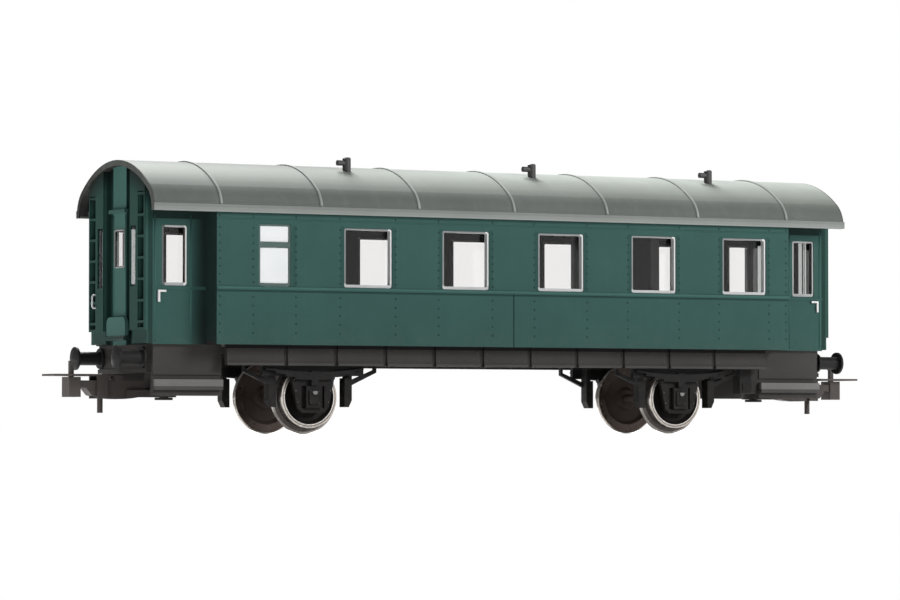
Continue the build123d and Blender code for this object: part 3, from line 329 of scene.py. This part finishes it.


# near black painted on inside faces, standing in for the shade inside the coach
insidePaintedShade = {"dark": (0.004, 0.0034, 0.0034), "light": (0.007, 0.006, 0.0058)}
roadDust = (0.13, 0.118, 0.105)
windowBays = [("bay", bayPitch / 2, bayPitch)]   # left side: the middle of one window, and the pitch
finishes = {
    "body_green": {
        "dark": (0.0285, 0.072, 0.063), "light": (0.0335, 0.082, 0.072), "rough": (0.48, 0.6),
        "grain": 1100.0, "gloss": 0.05,
        "runs": (0.15, (0.020, 0.056, 0.049)), "dust": (0.10, 15.5, 5.0, roadDust), "bays": windowBays,
        "zones": [
            # shade under the gutters
            {"box": {"ay": (16.2, 16.7), "z": (37.9, 38.5)},
             "dark": (0.021, 0.055, 0.049), "light": (0.025, 0.062, 0.055)},
            # shade over the vestibules' doors
            {"box": {"ax": (59, 69.3), "ay": (11.9, 12.1), "z": (37.25, 38.7)},
             "dark": (0.009, 0.020, 0.018), "light": (0.011, 0.024, 0.021)},
            # painted shade: darker margins beside the near windows' frames, near side only
            {"box": {"x": (-45, 60), "y": (-16.4, -16.2), "bay": (4.75, 5.5), "z": (25.7, 36.4)},
             "dark": (0.021, 0.058, 0.051), "light": (0.025, 0.065, 0.057)},
            {"box": {"x": (-45, 60), "y": (-16.4, -16.2), "bay": (-5.5, -4.75), "z": (25.7, 36.4)},
             "dark": (0.021, 0.058, 0.051), "light": (0.025, 0.065, 0.057)},
            # painted highlight on the upper edge of the belts
            {"box": {"ay": (16.35, 16.7), "z": (25.2, 25.6)},
             "dark": (0.038, 0.096, 0.086), "light": (0.044, 0.108, 0.096)},
            # shade under the belts
            {"box": {"ay": (16.2, 16.4), "z": (24.6, 24.97)},
             "dark": (0.017, 0.046, 0.040), "light": (0.020, 0.052, 0.046)},
            # painted shade on the recessed end walls and the backs of the ladders
            {"box": {"ax": (69.1, 69.95), "ay": (-1, 12.1)},
             "dark": (0.011, 0.031, 0.026), "light": (0.014, 0.038, 0.032)},
            # painted shade: faces of the guard panels darkened
            {"box": {"ax": (70.4, 70.9), "ay": (5, 12.2)},
             "dark": (0.015, 0.045, 0.037), "light": (0.019, 0.053, 0.044)},
            # painted shade on the sunk fields of the guard panels below their ladders
            {"box": {"ax": (70.05, 70.2), "ay": (5, 12.2)},
             "dark": (0.018, 0.050, 0.043), "light": (0.022, 0.057, 0.049)},
            # shade under the roof's arch
            {"box": {"ax": (69, 71), "ay": (-1, 12.1), "z": (38, 48)}, "ramps": [("arch", 19.5, 22.5)],
             "dark": (0.007, 0.014, 0.012), "light": (0.009, 0.018, 0.015)},
            # painted light: panel with the gangway door made lighter as if lit
            {"box": {"ax": (69.95, 70.1), "ay": (-1, 2.85)},
             "dark": (0.039, 0.099, 0.085), "light": (0.045, 0.112, 0.096)},
            # painted light on the raised bridge plates
            {"box": {"ax": (70.1, 71.4), "ay": (-1, 4.3), "z": (17.1, 21)},
             "dark": (0.043, 0.106, 0.092), "light": (0.049, 0.119, 0.103)},
            # painted shade over the foot of the bridge plates, dulling a glint there
            {"box": {"ax": (70.1, 71.4), "ay": (-1, 4.3), "z": (16, 17.1)},
             "dark": (0.012, 0.032, 0.027), "light": (0.015, 0.039, 0.033)},
            # painted shade on the ends of the saloon beside the vestibules
            {"box": {"ax": (58.8, 59.05), "ay": (12.05, 16.25)},
             "dark": (0.014, 0.027, 0.025), "light": (0.017, 0.032, 0.029)},
            # shade in the vestibules' corners
            {"box": {"ax": (58.9, 62), "ay": (11.9, 12.1)}, "ramps": [("ax", 61.8, 59.6)],
             "dark": (0.013, 0.024, 0.022), "light": (0.016, 0.029, 0.026)},
            # painted shade: near black inside the saloon
            {"box": {"ax": (-1, 58.3), "ay": (-1, 15.75)}, **insidePaintedShade},
            # painted shade: near black inside the vestibules
            {"box": {"ax": (-1, 68.4), "ay": (-1, 11.2)}, **insidePaintedShade}]},
    "roof_grey": {
        "dark": (0.238, 0.258, 0.238), "light": (0.272, 0.294, 0.272), "rough": (0.5, 0.62),
        "grain": 800.0, "gloss": 0.04,
        "runs": (0.2, (0.2, 0.217, 0.2)),
        "zones": [
            # painted shade: both slopes darker down from the crest
            {"box": {"ay": (5, 18)}, "ramps": [("ay", 8.0, 15.0)],
             "dark": (0.15, 0.163, 0.15), "light": (0.171, 0.185, 0.171)},
            # painted shade: crest darker towards the front, where it came out too bright
            {"box": {"ay": (-1, 12), "x": (-72, 5)}, "ramps": [("ay", 11.0, 4.0), ("x", 5, -38)],
             "dark": (0.118, 0.128, 0.118), "light": (0.135, 0.146, 0.135)},
            # painted shade: foot of both slopes darker still
            {"box": {"ay": (9, 18)}, "ramps": [("ay", 12.8, 16.3)],
             "dark": (0.106, 0.115, 0.106), "light": (0.121, 0.131, 0.121)},
            # painted shade on the eaves beside the gutters
            {"box": {"ay": (16.35, 16.75), "z": (38, 40.0)},
             "dark": (0.13, 0.141, 0.132), "light": (0.15, 0.162, 0.152)},
            # painted shade on the end faces
            {"box": {"ax": (70.8, 71.2)}, "dark": (0.06, 0.064, 0.06), "light": (0.075, 0.08, 0.075)},
            # painted shade: end faces darker away from the near side
            {"box": {"ax": (70.8, 71.2), "y": (0, 18)}, "ramps": [("y", 2, 13)],
             "dark": (0.028, 0.028, 0.027), "light": (0.036, 0.036, 0.035)},
            # painted shade under the overhangs
            {"box": {"ax": (69.2, 70.98), "ay": (-1, 16.9)}, "under": True,
             "dark": (0.02, 0.02, 0.019), "light": (0.028, 0.028, 0.027)},
            # painted light: gutters lighter than the foot of the slopes
            {"box": {"ay": (16.72, 18)}, "dark": (0.16, 0.171, 0.162), "light": (0.18, 0.192, 0.183)},
            # painted light: lower half of the gutters lighter
            {"box": {"ay": (16.72, 18), "z": (38, 39.15)},
             "dark": (0.19, 0.203, 0.193), "light": (0.21, 0.224, 0.214)},
            # painted light: lower edge of the gutters lightest
            {"box": {"ay": (16.72, 18), "z": (38, 38.65)},
             "dark": (0.21, 0.224, 0.214), "light": (0.24, 0.255, 0.245)},
            # painted shade: near black inside the roof
            {"box": {"ax": (-1, 69.5), "ay": (-1, 15.6)}, "under": True, **insidePaintedShade}]},
    "underframe_grey": {
        "dark": (0.028, 0.026, 0.025), "light": (0.040, 0.037, 0.036), "rough": (0.5, 0.65), "gloss": 0.06,
        "dust": (0.14, 5.0, 8.0, roadDust),
        "zones": [
            # painted shade: running gear under the body darker
            {"box": {"ax": (-1, 54), "z": (0, 11.9)},
             "dark": (0.014, 0.0135, 0.0135), "light": (0.021, 0.020, 0.020)},
            # steps
            {"box": {"ax": (55.4, 68.9), "ay": (9.9, 13.6), "z": (5, 15.5)},
             "dark": (0.042, 0.039, 0.038), "light": (0.056, 0.052, 0.050)},
            # painted highlight on the front edge of the treads
            {"box": {"ax": (55.5, 68.8), "ay": (11.3, 12.2), "z": (8.25, 9.6)},
             "dark": (0.14, 0.136, 0.133), "light": (0.17, 0.165, 0.162)},
            # painted light, weaker, on the lower edge of the treads
            {"box": {"ax": (55.5, 68.8), "ay": (11.3, 12.2), "z": (7.5, 8.25)},
             "dark": (0.06, 0.058, 0.056), "light": (0.075, 0.072, 0.07)},
            # solebars
            {"box": {"ax": (-1, 55.6), "ay": (13.2, 13.7), "z": (11.9, 14.9)},
             "dark": (0.041, 0.038, 0.036), "light": (0.054, 0.050, 0.048)},
            # painted highlight on the lower edge of the solebars
            {"box": {"ax": (-1, 55.6), "ay": (13.2, 13.7), "z": (11.9, 12.35)},
             "dark": (0.056, 0.053, 0.051), "light": (0.072, 0.068, 0.066)},
            # shade under the sides
            {"box": {"ay": (13.05, 13.5), "z": (14.9, 15.6)},
             "dark": (0.010, 0.009, 0.009), "light": (0.014, 0.013, 0.013)},
            # painted highlight on the caps of the axlebox lids
            {"box": {"ax": (37.0, 38.8), "ay": (12.27, 12.8), "z": (5.4, 7.5)},
             "dark": (0.2, 0.2, 0.2), "light": (0.28, 0.28, 0.28)}]},
    "frame_silver": {
        # near black, as painted shade in the reveals, except where zones lighten the frames
        "dark": (0.022, 0.022, 0.023), "light": (0.035, 0.035, 0.036), "rough": (0.3, 0.42), "gloss": 0.4,
        "bays": windowBays,
        "zones": [
            # outer faces of the frames
            {"box": {"ay": (16.1, 16.4)}, "dark": (0.14, 0.15, 0.15), "light": (0.2, 0.21, 0.21)},
            # lit uprights on the near side
            {"box": {"y": (-17, -15), "bay": (4.0, 6)},
             "dark": (0.46, 0.47, 0.47), "light": (0.56, 0.57, 0.57)},
            # painted highlight on the sills
            {"box": {"ay": (16.1, 16.4), "z": (25, 26.4)},
             "dark": (0.34, 0.35, 0.35), "light": (0.44, 0.45, 0.45)},
            # door windows
            {"box": {"ax": (59, 70), "ay": (11.8, 12.1)},
             "dark": (0.24, 0.25, 0.25), "light": (0.34, 0.35, 0.35)},
            # front door window's shaded upright
            {"box": {"x": (-67.5, -66.75), "y": (-12.1, -11.8)},
             "dark": (0.06, 0.065, 0.065), "light": (0.09, 0.095, 0.095)},
            # front door window's lit upright
            {"box": {"x": (-63.2, -62.4), "y": (-12.1, -11.8)},
             "dark": (0.5, 0.51, 0.5), "light": (0.6, 0.61, 0.6)},
            # toilet window, painted like the side
            {"box": {"x": (-51.3, -44.2), "y": (-17, -15)},
             "dark": (0.03, 0.066, 0.059), "light": (0.036, 0.075, 0.067)}]},
    "milky_panes": {
        "dark": (0.6, 0.62, 0.63), "light": (0.66, 0.67, 0.68), "rough": (0.25, 0.35), "gloss": 0.4},
    "ventilator_grey": {"dark": (0.045, 0.044, 0.044), "light": (0.06, 0.058, 0.058), "rough": (0.45, 0.6)},
    "steel": {
        "dark": (0.26, 0.23, 0.205), "light": (0.34, 0.305, 0.28), "rough": (0.2, 0.32), "metal": 0.6,
        "rings": (0.2, 0.172, 0.15), "bump": 0.3,
        "zones": [
            # treads and flanges
            {"box": {"ay": (7.28, 9.9)}, "dark": (0.12, 0.108, 0.1), "light": (0.19, 0.172, 0.16)},
            # painted highlight on the rim of the flanges
            {"box": {"ay": (7.28, 9), "turn": (6.1, 6.6)},
             "dark": (0.5, 0.46, 0.42), "light": (0.6, 0.56, 0.52)},
            # painted highlight: inner bright ring of the outer face
            {"box": {"ay": (9.6, 10.1), "turn": (4.7, 4.98)},
             "dark": (0.66, 0.62, 0.58), "light": (0.78, 0.74, 0.7)},
            # painted highlight: outer bright ring of the outer face
            {"box": {"ay": (9.6, 10.1), "turn": (5.22, 5.5)},
             "dark": (0.58, 0.53, 0.48), "light": (0.7, 0.65, 0.6)},
            # backs of the tyres
            {"box": {"ay": (-1, 7.28)}, "dark": (0.085, 0.064, 0.054), "light": (0.12, 0.092, 0.078)}]},
    "wheel_brown": {
        "dark": (0.012, 0.011, 0.0105), "light": (0.018, 0.016, 0.015), "rough": (0.4, 0.55), "gloss": 0.08,
        "zones": [
            # inner part of the discs, and the axles
            {"box": {"ay": (-1, 8.45)}, "dark": (0.075, 0.057, 0.05), "light": (0.1, 0.078, 0.068)}]},
    "handle_silver": {
        "dark": (0.5, 0.5, 0.5), "light": (0.65, 0.65, 0.65), "rough": (0.25, 0.4), "gloss": 0.5},
    "ballast_steel": {"dark": (0.3, 0.3, 0.3), "light": (0.4, 0.4, 0.4), "rough": (0.4, 0.5), "metal": 1.0},
    "inside_grey": {
        "dark": (0.012, 0.012, 0.013), "light": (0.018, 0.018, 0.019), "rough": (0.6, 0.7), "gloss": 0.2},
    "coupling_black": {
        "dark": (0.058, 0.050, 0.047), "light": (0.078, 0.068, 0.064), "rough": (0.45, 0.6), "gloss": 0.08,
        "dust": (0.25, 4.0, 5.0, roadDust)},
    "buffer_black": {
        "dark": (0.016, 0.0155, 0.0155), "light": (0.023, 0.0225, 0.0225), "rough": (0.4, 0.55),
        "gloss": 0.06},
}
trims = {
    # rivets painted darker than the side, as painted shade round the domes
    "rivetGreenPaintedShade": {
        "dark": (0.013, 0.036, 0.031), "light": (0.017, 0.044, 0.038), "rough": (0.45, 0.6), "gloss": 0.2},
    # raised door edges painted lighter than the side, as painted highlight
    "edgeGreenPaintedLight": {
        "dark": (0.036, 0.090, 0.079), "light": (0.042, 0.102, 0.090), "rough": (0.55, 0.65),
        "gloss": 0.05},
    "rimSilver": {
        "dark": (0.16, 0.165, 0.165), "light": (0.22, 0.225, 0.225), "rough": (0.45, 0.55), "gloss": 0.1},
    # seam caps painted lighter than the slopes, as painted light against the shade on their sides
    "seamGreyPaintedLight": {
        "dark": (0.185, 0.2, 0.185), "light": (0.215, 0.232, 0.215), "rough": (0.5, 0.62), "gloss": 0.04,
        "zones": [
            # painted light: caps lighter still on the lower part of both slopes
            {"box": {"ay": (8, 18)}, "ramps": [("ay", 9.0, 12.0)],
             "dark": (0.24, 0.258, 0.24), "light": (0.28, 0.3, 0.28)}]},
    "boltGrey": {"dark": (0.05, 0.048, 0.047), "light": (0.075, 0.072, 0.07), "rough": (0.35, 0.5)},
}
paneLook = {
    "dark": (0.95, 0.945, 0.94), "light": (0.98, 0.975, 0.97), "rough": (0.0, 0.008),
    "grain": 60.0, "bump": 0.012, "ior": 1.45,
    # the narrow end windows
    "strip": {"ax": (67.5, 71.5), "ay": (4.5, 9.5)}, "stripTint": (0.5, 0.53, 0.52)}
materials = {name: finish(name, look) for name, look in [*finishes.items(), *trims.items()]}
materials["glazing"] = clearGlass("glazing", paneLook)
for part in frame["record"]["subparts"]:
    node = nodes[part["node"]]
    node.data.materials.clear()
    node.data.materials.append(materials[part["material_slot"]])
print("finishes set:", len(materials))


# surfaces worked out as whole arrays
def gridFaces(rows, cols):
    # quads between neighbouring rows of a grid whose columns close into a ring
    r = np.arange(rows - 1)[:, None]
    c = np.arange(cols)[None, :]
    n = (c + 1) % cols
    return np.stack([r * cols + c, r * cols + n, (r + 1) * cols + n, (r + 1) * cols + c], -1).reshape(-1, 4)


def joined(shapes):
    # several shapes as one
    starts = np.cumsum([0] + [len(shape[0]) for shape in shapes])
    faces = [face + start for shape, start in zip(shapes, starts) for face in shape[1]]
    return np.vstack([shape[0] for shape in shapes]), faces


def along(path, across, out, profile, closed=False):
    # a closed profile carried along a path; each point of the path has its own across and out directions
    path, profile = np.asarray(path, float), np.asarray(profile, float)
    across, out = np.broadcast_to(across, path.shape), np.broadcast_to(out, path.shape)
    verts = path[:, None] + profile[None, :, :1] * across[:, None] + profile[None, :, 1:] * out[:, None]
    rows, count = len(path), len(profile)
    faces = [*(gridFaces(rows + closed, count) % (rows * count))]
    if not closed:
        faces += [np.arange(count)[::-1], np.arange(count) + (rows - 1) * count]
    return verts.reshape(-1, 3), faces


def halfRound(look, steps=7, sink=0.06):
    # half an ellipse over its base line, with the base sunk a little into the wall
    half = look["width"] / 2
    arc = np.linspace(0, np.pi, steps)
    bow = np.stack([np.cos(arc) * half, np.sin(arc) * look["rise"]], -1)
    return np.vstack([[half, -sink], bow, [-half, -sink]])


def sideDomes(x, z, sign, look, sink=0.3):
    # domes on a side: a quarter arc turned round the outward line, sunk into its wall and closed behind
    places = np.stack([np.ravel(x), np.full(np.size(x), sign * look["face"]), np.ravel(z)], -1)
    sides = look["sides"]
    turn = np.linspace(0, 2 * np.pi, sides, endpoint=False)
    lift = np.linspace(0, np.pi / 2, look["rings"] + 1)[:-1]
    radius = np.concatenate([[1.0], np.cos(lift)]) * look["radius"]
    height = np.concatenate([[-sink], np.sin(lift)]) * look["rise"]
    one = np.stack([
        (-sign * radius[:, None] * np.cos(turn)).ravel(),
        sign * np.repeat(height, sides),
        (radius[:, None] * np.sin(turn)).ravel()], -1)
    one = np.vstack([one, [[0, sign * look["rise"], 0]]])
    verts = (places[:, None, :] + one[None]).reshape(-1, 3)
    rows = len(radius)
    last = (rows - 1) * sides
    ring = np.arange(sides)
    tips = np.stack([last + ring, last + (ring + 1) % sides, np.full(sides, rows * sides)], -1)
    shift = (np.arange(len(places)) * len(one))[:, None, None]
    tiles = [gridFaces(rows, sides), tips, ring[::-1][None]]
    faces = [face for tile in tiles for face in (tile[None] + shift).reshape(-1, tile.shape[1])]
    return verts, faces


def tidyNormals(piece):
    # faces of separate closed shells turned outwards
    work = bmesh.new()
    work.from_mesh(piece.data)
    bmesh.ops.recalc_face_normals(work, faces=work.faces)
    work.to_mesh(piece.data)
    work.free()


def addPiece(name, shape, slot, trim=None, body="coach", smooth=False):
    mesh = bpy.data.meshes.new(name)
    mesh.from_pydata((shape[0] * mm).tolist(), [], [list(map(int, face)) for face in shape[1]])
    mesh.validate()
    mesh.materials.append(materials[trim or slot])
    if smooth:
        mesh.polygons.foreach_set("use_smooth", np.ones(len(mesh.polygons), bool))
    piece = bpy.data.objects.new(name, mesh)
    bpy.context.scene.collection.objects.link(piece)
    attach(piece, body)
    tidyNormals(piece)


# sides: columns of rivets beside the windows and at both ends, and a cover strip under each gutter
bodyLook = {"face": 16.3, "end": 58.9, "foot": 15.5, "belt": (24.95, 25.55),
            "windows": 6, "half": 4.75, "shift": {"left": 0.0, "right": -0.8},
            "toilet": {"half": 3.4, "shift": 1.35}}
rivetLook = {"face": bodyLook["face"], "radius": 0.19, "rise": 0.11, "sides": 8, "rings": 2,
             "edge": 0.75, "last": 58.3, "topRow": 37.75,
             "low": {"first": 1.15, "pitch": 1.57, "spare": 0.6},
             "high": {"first": 0.75, "pitch": 1.35, "spare": 0.4}}
stripLook = {"up": 37.25, "width": 0.28, "rise": 0.09}
beltFoot, beltTop = bodyLook["belt"]
low, high = rivetLook["low"], rivetLook["high"]
lowRows = np.arange(beltFoot - low["first"], bodyLook["foot"] + low["spare"], -low["pitch"])
highRows = np.arange(beltTop + high["first"], stripLook["up"] - high["spare"], high["pitch"])
bays = (np.arange(bodyLook["windows"]) - (bodyLook["windows"] - 1) / 2) * bayPitch
for sideName, sign in (("left", -1), ("right", 1)):
    middles = bays + bodyLook["shift"][sideName]
    halves = np.full(len(bays), bodyLook["half"])
    if sideName == "left":
        middles[0] += bodyLook["toilet"]["shift"]
        halves[0] = bodyLook["toilet"]["half"]
    halves += rivetLook["edge"]
    columns = [*(middles - halves), *(middles + halves), -rivetLook["last"], rivetLook["last"]]
    x, z = np.meshgrid(columns, [*lowRows, *highRows, rivetLook["topRow"]], indexing="ij")
    rivets = sideDomes(x, z, sign, rivetLook)
    addPiece(f"sideRivets_{sideName}", rivets, "body_green", "rivetGreenPaintedShade", smooth=True)
    ends = [(x, sign * bodyLook["face"], stripLook["up"]) for x in (-bodyLook["end"], bodyLook["end"])]
    strip = along(ends, (0, 0, 1), (0, sign, 0), halfRound(stripLook))
    addPiece(f"upperStrip_{sideName}", strip, "body_green")
print("side rivets and strips set")

# roof: rounded caps over the seams, each a half round carried over the crown arc and the two shoulder arcs
capLook = {"crown": (24.101, 23.799), "shoulder": (5.4, 11.3, 38.7), "knee": 0.6489, "reach": 1.36,
           "steps": 61, "eachWay": 3, "pitch": 19.4, "width": 0.6, "rise": 0.26}
turn = np.linspace(-capLook["reach"], capLook["reach"], capLook["steps"])
crownRadius, crownUp = capLook["crown"]
radius, aside, up = capLook["shoulder"]
crown = np.abs(turn) < capLook["knee"]
shoulder = np.sign(turn) * (aside + radius * np.sin(np.abs(turn)))
y = np.where(crown, crownRadius * np.sin(turn), shoulder)
z = np.where(crown, crownUp + crownRadius * np.cos(turn), up + radius * np.cos(turn))
outward = np.stack([np.zeros_like(turn), np.sin(turn), np.cos(turn)], -1)
caps = []
for n in range(-capLook["eachWay"], capLook["eachWay"] + 1):
    path = np.stack([np.full_like(turn, n * capLook["pitch"]), y, z], -1)
    caps.append(along(path, (1, 0, 0), outward, halfRound(capLook)))
addPiece("roofSeamCaps", joined(caps), "roof_grey", "seamGreyPaintedLight", smooth=True)
print("roof seam caps set")

# vestibules: raised edges of all doors, rim of the gangway window, one grab handle at each end
doorLook = {"x": (68.67, 61.84), "face": 12.0, "z": (15.9, 37.9), "width": 0.34, "rise": 0.12}
gangLook = {"face": 70.0, "edge": 2.55, "z": (20.8, 38.3), "width": 0.3, "rise": 0.14}
rimLook = {"half": (2.05, 3.25), "up": 32.4, "corner": 0.4, "width": 0.32, "rise": 0.16}
grabLook = {"y": 8.85, "z": (22.2, 24.5), "face": 70.6, "out": 0.75, "bend": 0.4,
            "radius": 0.17, "sides": 8}
quarter = np.linspace(0, np.pi / 2, 5)
for endName, end in (("front", -1), ("rear", 1)):
    edges = []
    for x in doorLook["x"]:
        for side in (-1, 1):
            path = [(end * x, side * doorLook["face"], z) for z in doorLook["z"]]
            edges.append(along(path, (1, 0, 0), (0, side, 0), halfRound(doorLook)))
    for side in (-1, 1):
        path = [(end * gangLook["face"], side * gangLook["edge"], z) for z in gangLook["z"]]
        edges.append(along(path, (0, 1, 0), (end, 0, 0), halfRound(gangLook)))
    addPiece(f"doorEdges_{endName}", joined(edges), "body_green", "edgeGreenPaintedLight", smooth=True)
    # rim: a rectangle with round corners, walked round once
    spin = (np.arange(4)[:, None] * np.pi / 2 + quarter[None]).ravel()
    corner = np.repeat(np.array([[1, 1], [-1, 1], [-1, -1], [1, -1]]), len(quarter), 0)
    away = np.stack([np.zeros_like(spin), np.cos(spin), np.sin(spin)], -1)
    centres = corner * (np.array(rimLook["half"]) - rimLook["corner"]) + np.array([0, rimLook["up"]])
    inner = np.column_stack([np.full(len(spin), end * gangLook["face"]), centres])
    rim = along(inner + away * rimLook["corner"], away, (end, 0, 0), halfRound(rimLook), True)
    addPiece(f"gangwayRim_{endName}", rim, "frame_silver", "rimSilver", smooth=True)
    # grab handle: a round bar that leaves the panel, turns up, and turns back in
    foot, head = grabLook["z"]
    bend = np.concatenate([quarter - np.pi / 2, quarter])
    outs = np.pad((1 + np.cos(bend)) * grabLook["out"] / 2, 1)
    levels = np.repeat([foot + grabLook["bend"], head - grabLook["bend"]], len(quarter))
    lifts = np.pad(levels + np.sin(bend) * grabLook["bend"], 1, "edge")
    bend = np.pad(bend, 1, "edge")
    path = np.stack([end * (grabLook["face"] + outs), np.full(len(bend), -end * grabLook["y"]), lifts], -1)
    facing = np.stack([end * np.cos(bend), np.zeros(len(bend)), np.sin(bend)], -1)
    around = np.arange(grabLook["sides"]) * 2 * np.pi / grabLook["sides"]
    bar = np.stack([np.cos(around), np.sin(around)], -1) * grabLook["radius"]
    addPiece(f"grabHandle_{endName}", along(path, (0, 1, 0), facing, bar), "handle_silver", smooth=True)
print("vestibule trim set")

# bolts: on the axle guards, on the lids of the axleboxes, and beside the solebars' upright gaps
guardLook = {"face": 11.5, "spots": [(3.75, 3.1), (3.4, 1.1), (3.0, -0.9)],
             "radius": 0.2, "rise": 0.13, "sides": 6, "rings": 2}
lidLook = {"face": 12.25, "spots": [(0.8, 1.05), (0.8, -1.05)],
           "radius": 0.13, "rise": 0.1, "sides": 6, "rings": 2}
soleLook = {"face": 13.4, "gapsEachWay": 5, "pitch": bayPitch / 2, "aside": 1.0, "rows": (13.0, 14.4),
            "radius": 0.13, "rise": 0.1, "sides": 6, "rings": 2}
axles = np.array([[(way * gearPlace["axleX"], gearPlace["axleZ"])] for way in (1, -1)])
gaps = (np.arange(-soleLook["gapsEachWay"], soleLook["gapsEachWay"]) + 0.5) * soleLook["pitch"]
for sideName, sign in (("left", -1), ("right", 1)):
    shapes = []
    for look in (guardLook, lidLook):
        half = np.array(look["spots"])
        spots = (axles + np.concatenate([half, half * (-1, 1)])).reshape(-1, 2)
        shapes.append(sideDomes(spots[:, 0], spots[:, 1], sign, look))
    x, z = np.meshgrid(gaps[:, None] + np.array([-1, 1]) * soleLook["aside"], soleLook["rows"])
    shapes.append(sideDomes(x, z, sign, soleLook))
    addPiece(f"gearBolts_{sideName}", joined(shapes), "underframe_grey", "boltGrey", smooth=True)
print("bolts set")

# stage: floor, soft light, camera at the photo's angle
floorLook = {"half": 0.6, "paint": (0.9, 0.9, 0.9), "rough": 0.7}
half = floorLook["half"]
floorMesh = bpy.data.meshes.new("floor")
corners = [(-half, -half, 0), (half, -half, 0), (half, half, 0), (-half, half, 0)]
floorMesh.from_pydata(corners, [], [(0, 1, 2, 3)])
floor = bpy.data.objects.new("floor", floorMesh)
bpy.context.scene.collection.objects.link(floor)
floorMat = bpy.data.materials.new("floorPaint")
floorMat.use_nodes = True
floorShader = floorMat.node_tree.nodes["Principled BSDF"]
floorShader.inputs["Base Color"].default_value = (*floorLook["paint"], 1)
floorShader.inputs["Roughness"].default_value = floorLook["rough"]
floorMesh.materials.append(floorMat)

# sky: white where it is seen, also through the windows, dimmer as light, dimmest in mirrored light
skyLook = {"seen": 1.0, "ambient": 0.28, "mirrored": 0.05}
world = bpy.data.worlds.new("studio")
bpy.context.scene.world = world
world.use_nodes = True
sky = world.node_tree
sky.nodes.clear()


def whiteSky(strength):
    node = sky.nodes.new("ShaderNodeBackground")
    node.inputs["Color"].default_value = (1, 1, 1, 1)
    node.inputs["Strength"].default_value = strength
    return node.outputs[0]


def mixSky(factor, first, second):
    node = sky.nodes.new("ShaderNodeMixShader")
    sky.links.new(factor, node.inputs["Fac"])
    sky.links.new(first, node.inputs[1])
    sky.links.new(second, node.inputs[2])
    return node.outputs[0]


ray = sky.nodes.new("ShaderNodeLightPath").outputs
# rays that came through a pane without meeting a wall first
direct = mathNode(sky, "LESS_THAN", ray["Diffuse Depth"], 0.5)
through = mathNode(sky, "MULTIPLY", ray["Is Transmission Ray"], direct)
shows = mathNode(sky, "MAXIMUM", ray["Is Camera Ray"], through)
lit = mixSky(ray["Is Glossy Ray"], whiteSky(skyLook["ambient"]), whiteSky(skyLook["mirrored"]))
skyOut = sky.nodes.new("ShaderNodeOutputWorld")
sky.links.new(mixSky(shows, lit, whiteSky(skyLook["seen"])), skyOut.inputs["Surface"])


def softLight(name, look):
    data = bpy.data.lights.new(name, "AREA")
    data.shape = "RECTANGLE"
    data.size, data.size_y = look["size"]
    data.energy = look["watts"]
    lamp = bpy.data.objects.new(name, data)
    lamp.location = look["place"]
    way = np.array(look["aim"]) - np.array(look["place"])
    tilt = math.acos(-way[2] / np.linalg.norm(way))
    lamp.rotation_euler = (tilt, 0, math.atan2(way[1], way[0]) - math.pi / 2)
    bpy.context.scene.collection.objects.link(lamp)


coachMiddle = (0, 0, 0.03)
softLight("backTop", {"place": (0.04, 0.5, 0.62), "aim": coachMiddle, "size": (0.4, 0.4), "watts": 19.5})
softLight("frontFill", {"place": (0.49, -0.73, 0.37), "aim": coachMiddle, "size": (0.35, 0.3), "watts": 5.8})

cameraLook = {"place": (-0.3586, -0.6522, 0.00131), "yaw": 28.52, "pitch": 1.78,
              "lens": 162.56, "sensor": 36.0, "nearest": 0.01}
camData = bpy.data.cameras.new("camera")
camData.lens = cameraLook["lens"]
camData.sensor_width = cameraLook["sensor"]
camData.clip_start = cameraLook["nearest"]
cam = bpy.data.objects.new("camera", camData)
cam.location = cameraLook["place"]
cam.rotation_euler = (math.radians(90 + cameraLook["pitch"]), 0, math.radians(-cameraLook["yaw"]))
bpy.context.scene.collection.objects.link(cam)
bpy.context.scene.camera = cam
bpy.context.scene.view_settings.view_transform = "Standard"
print("stage set")
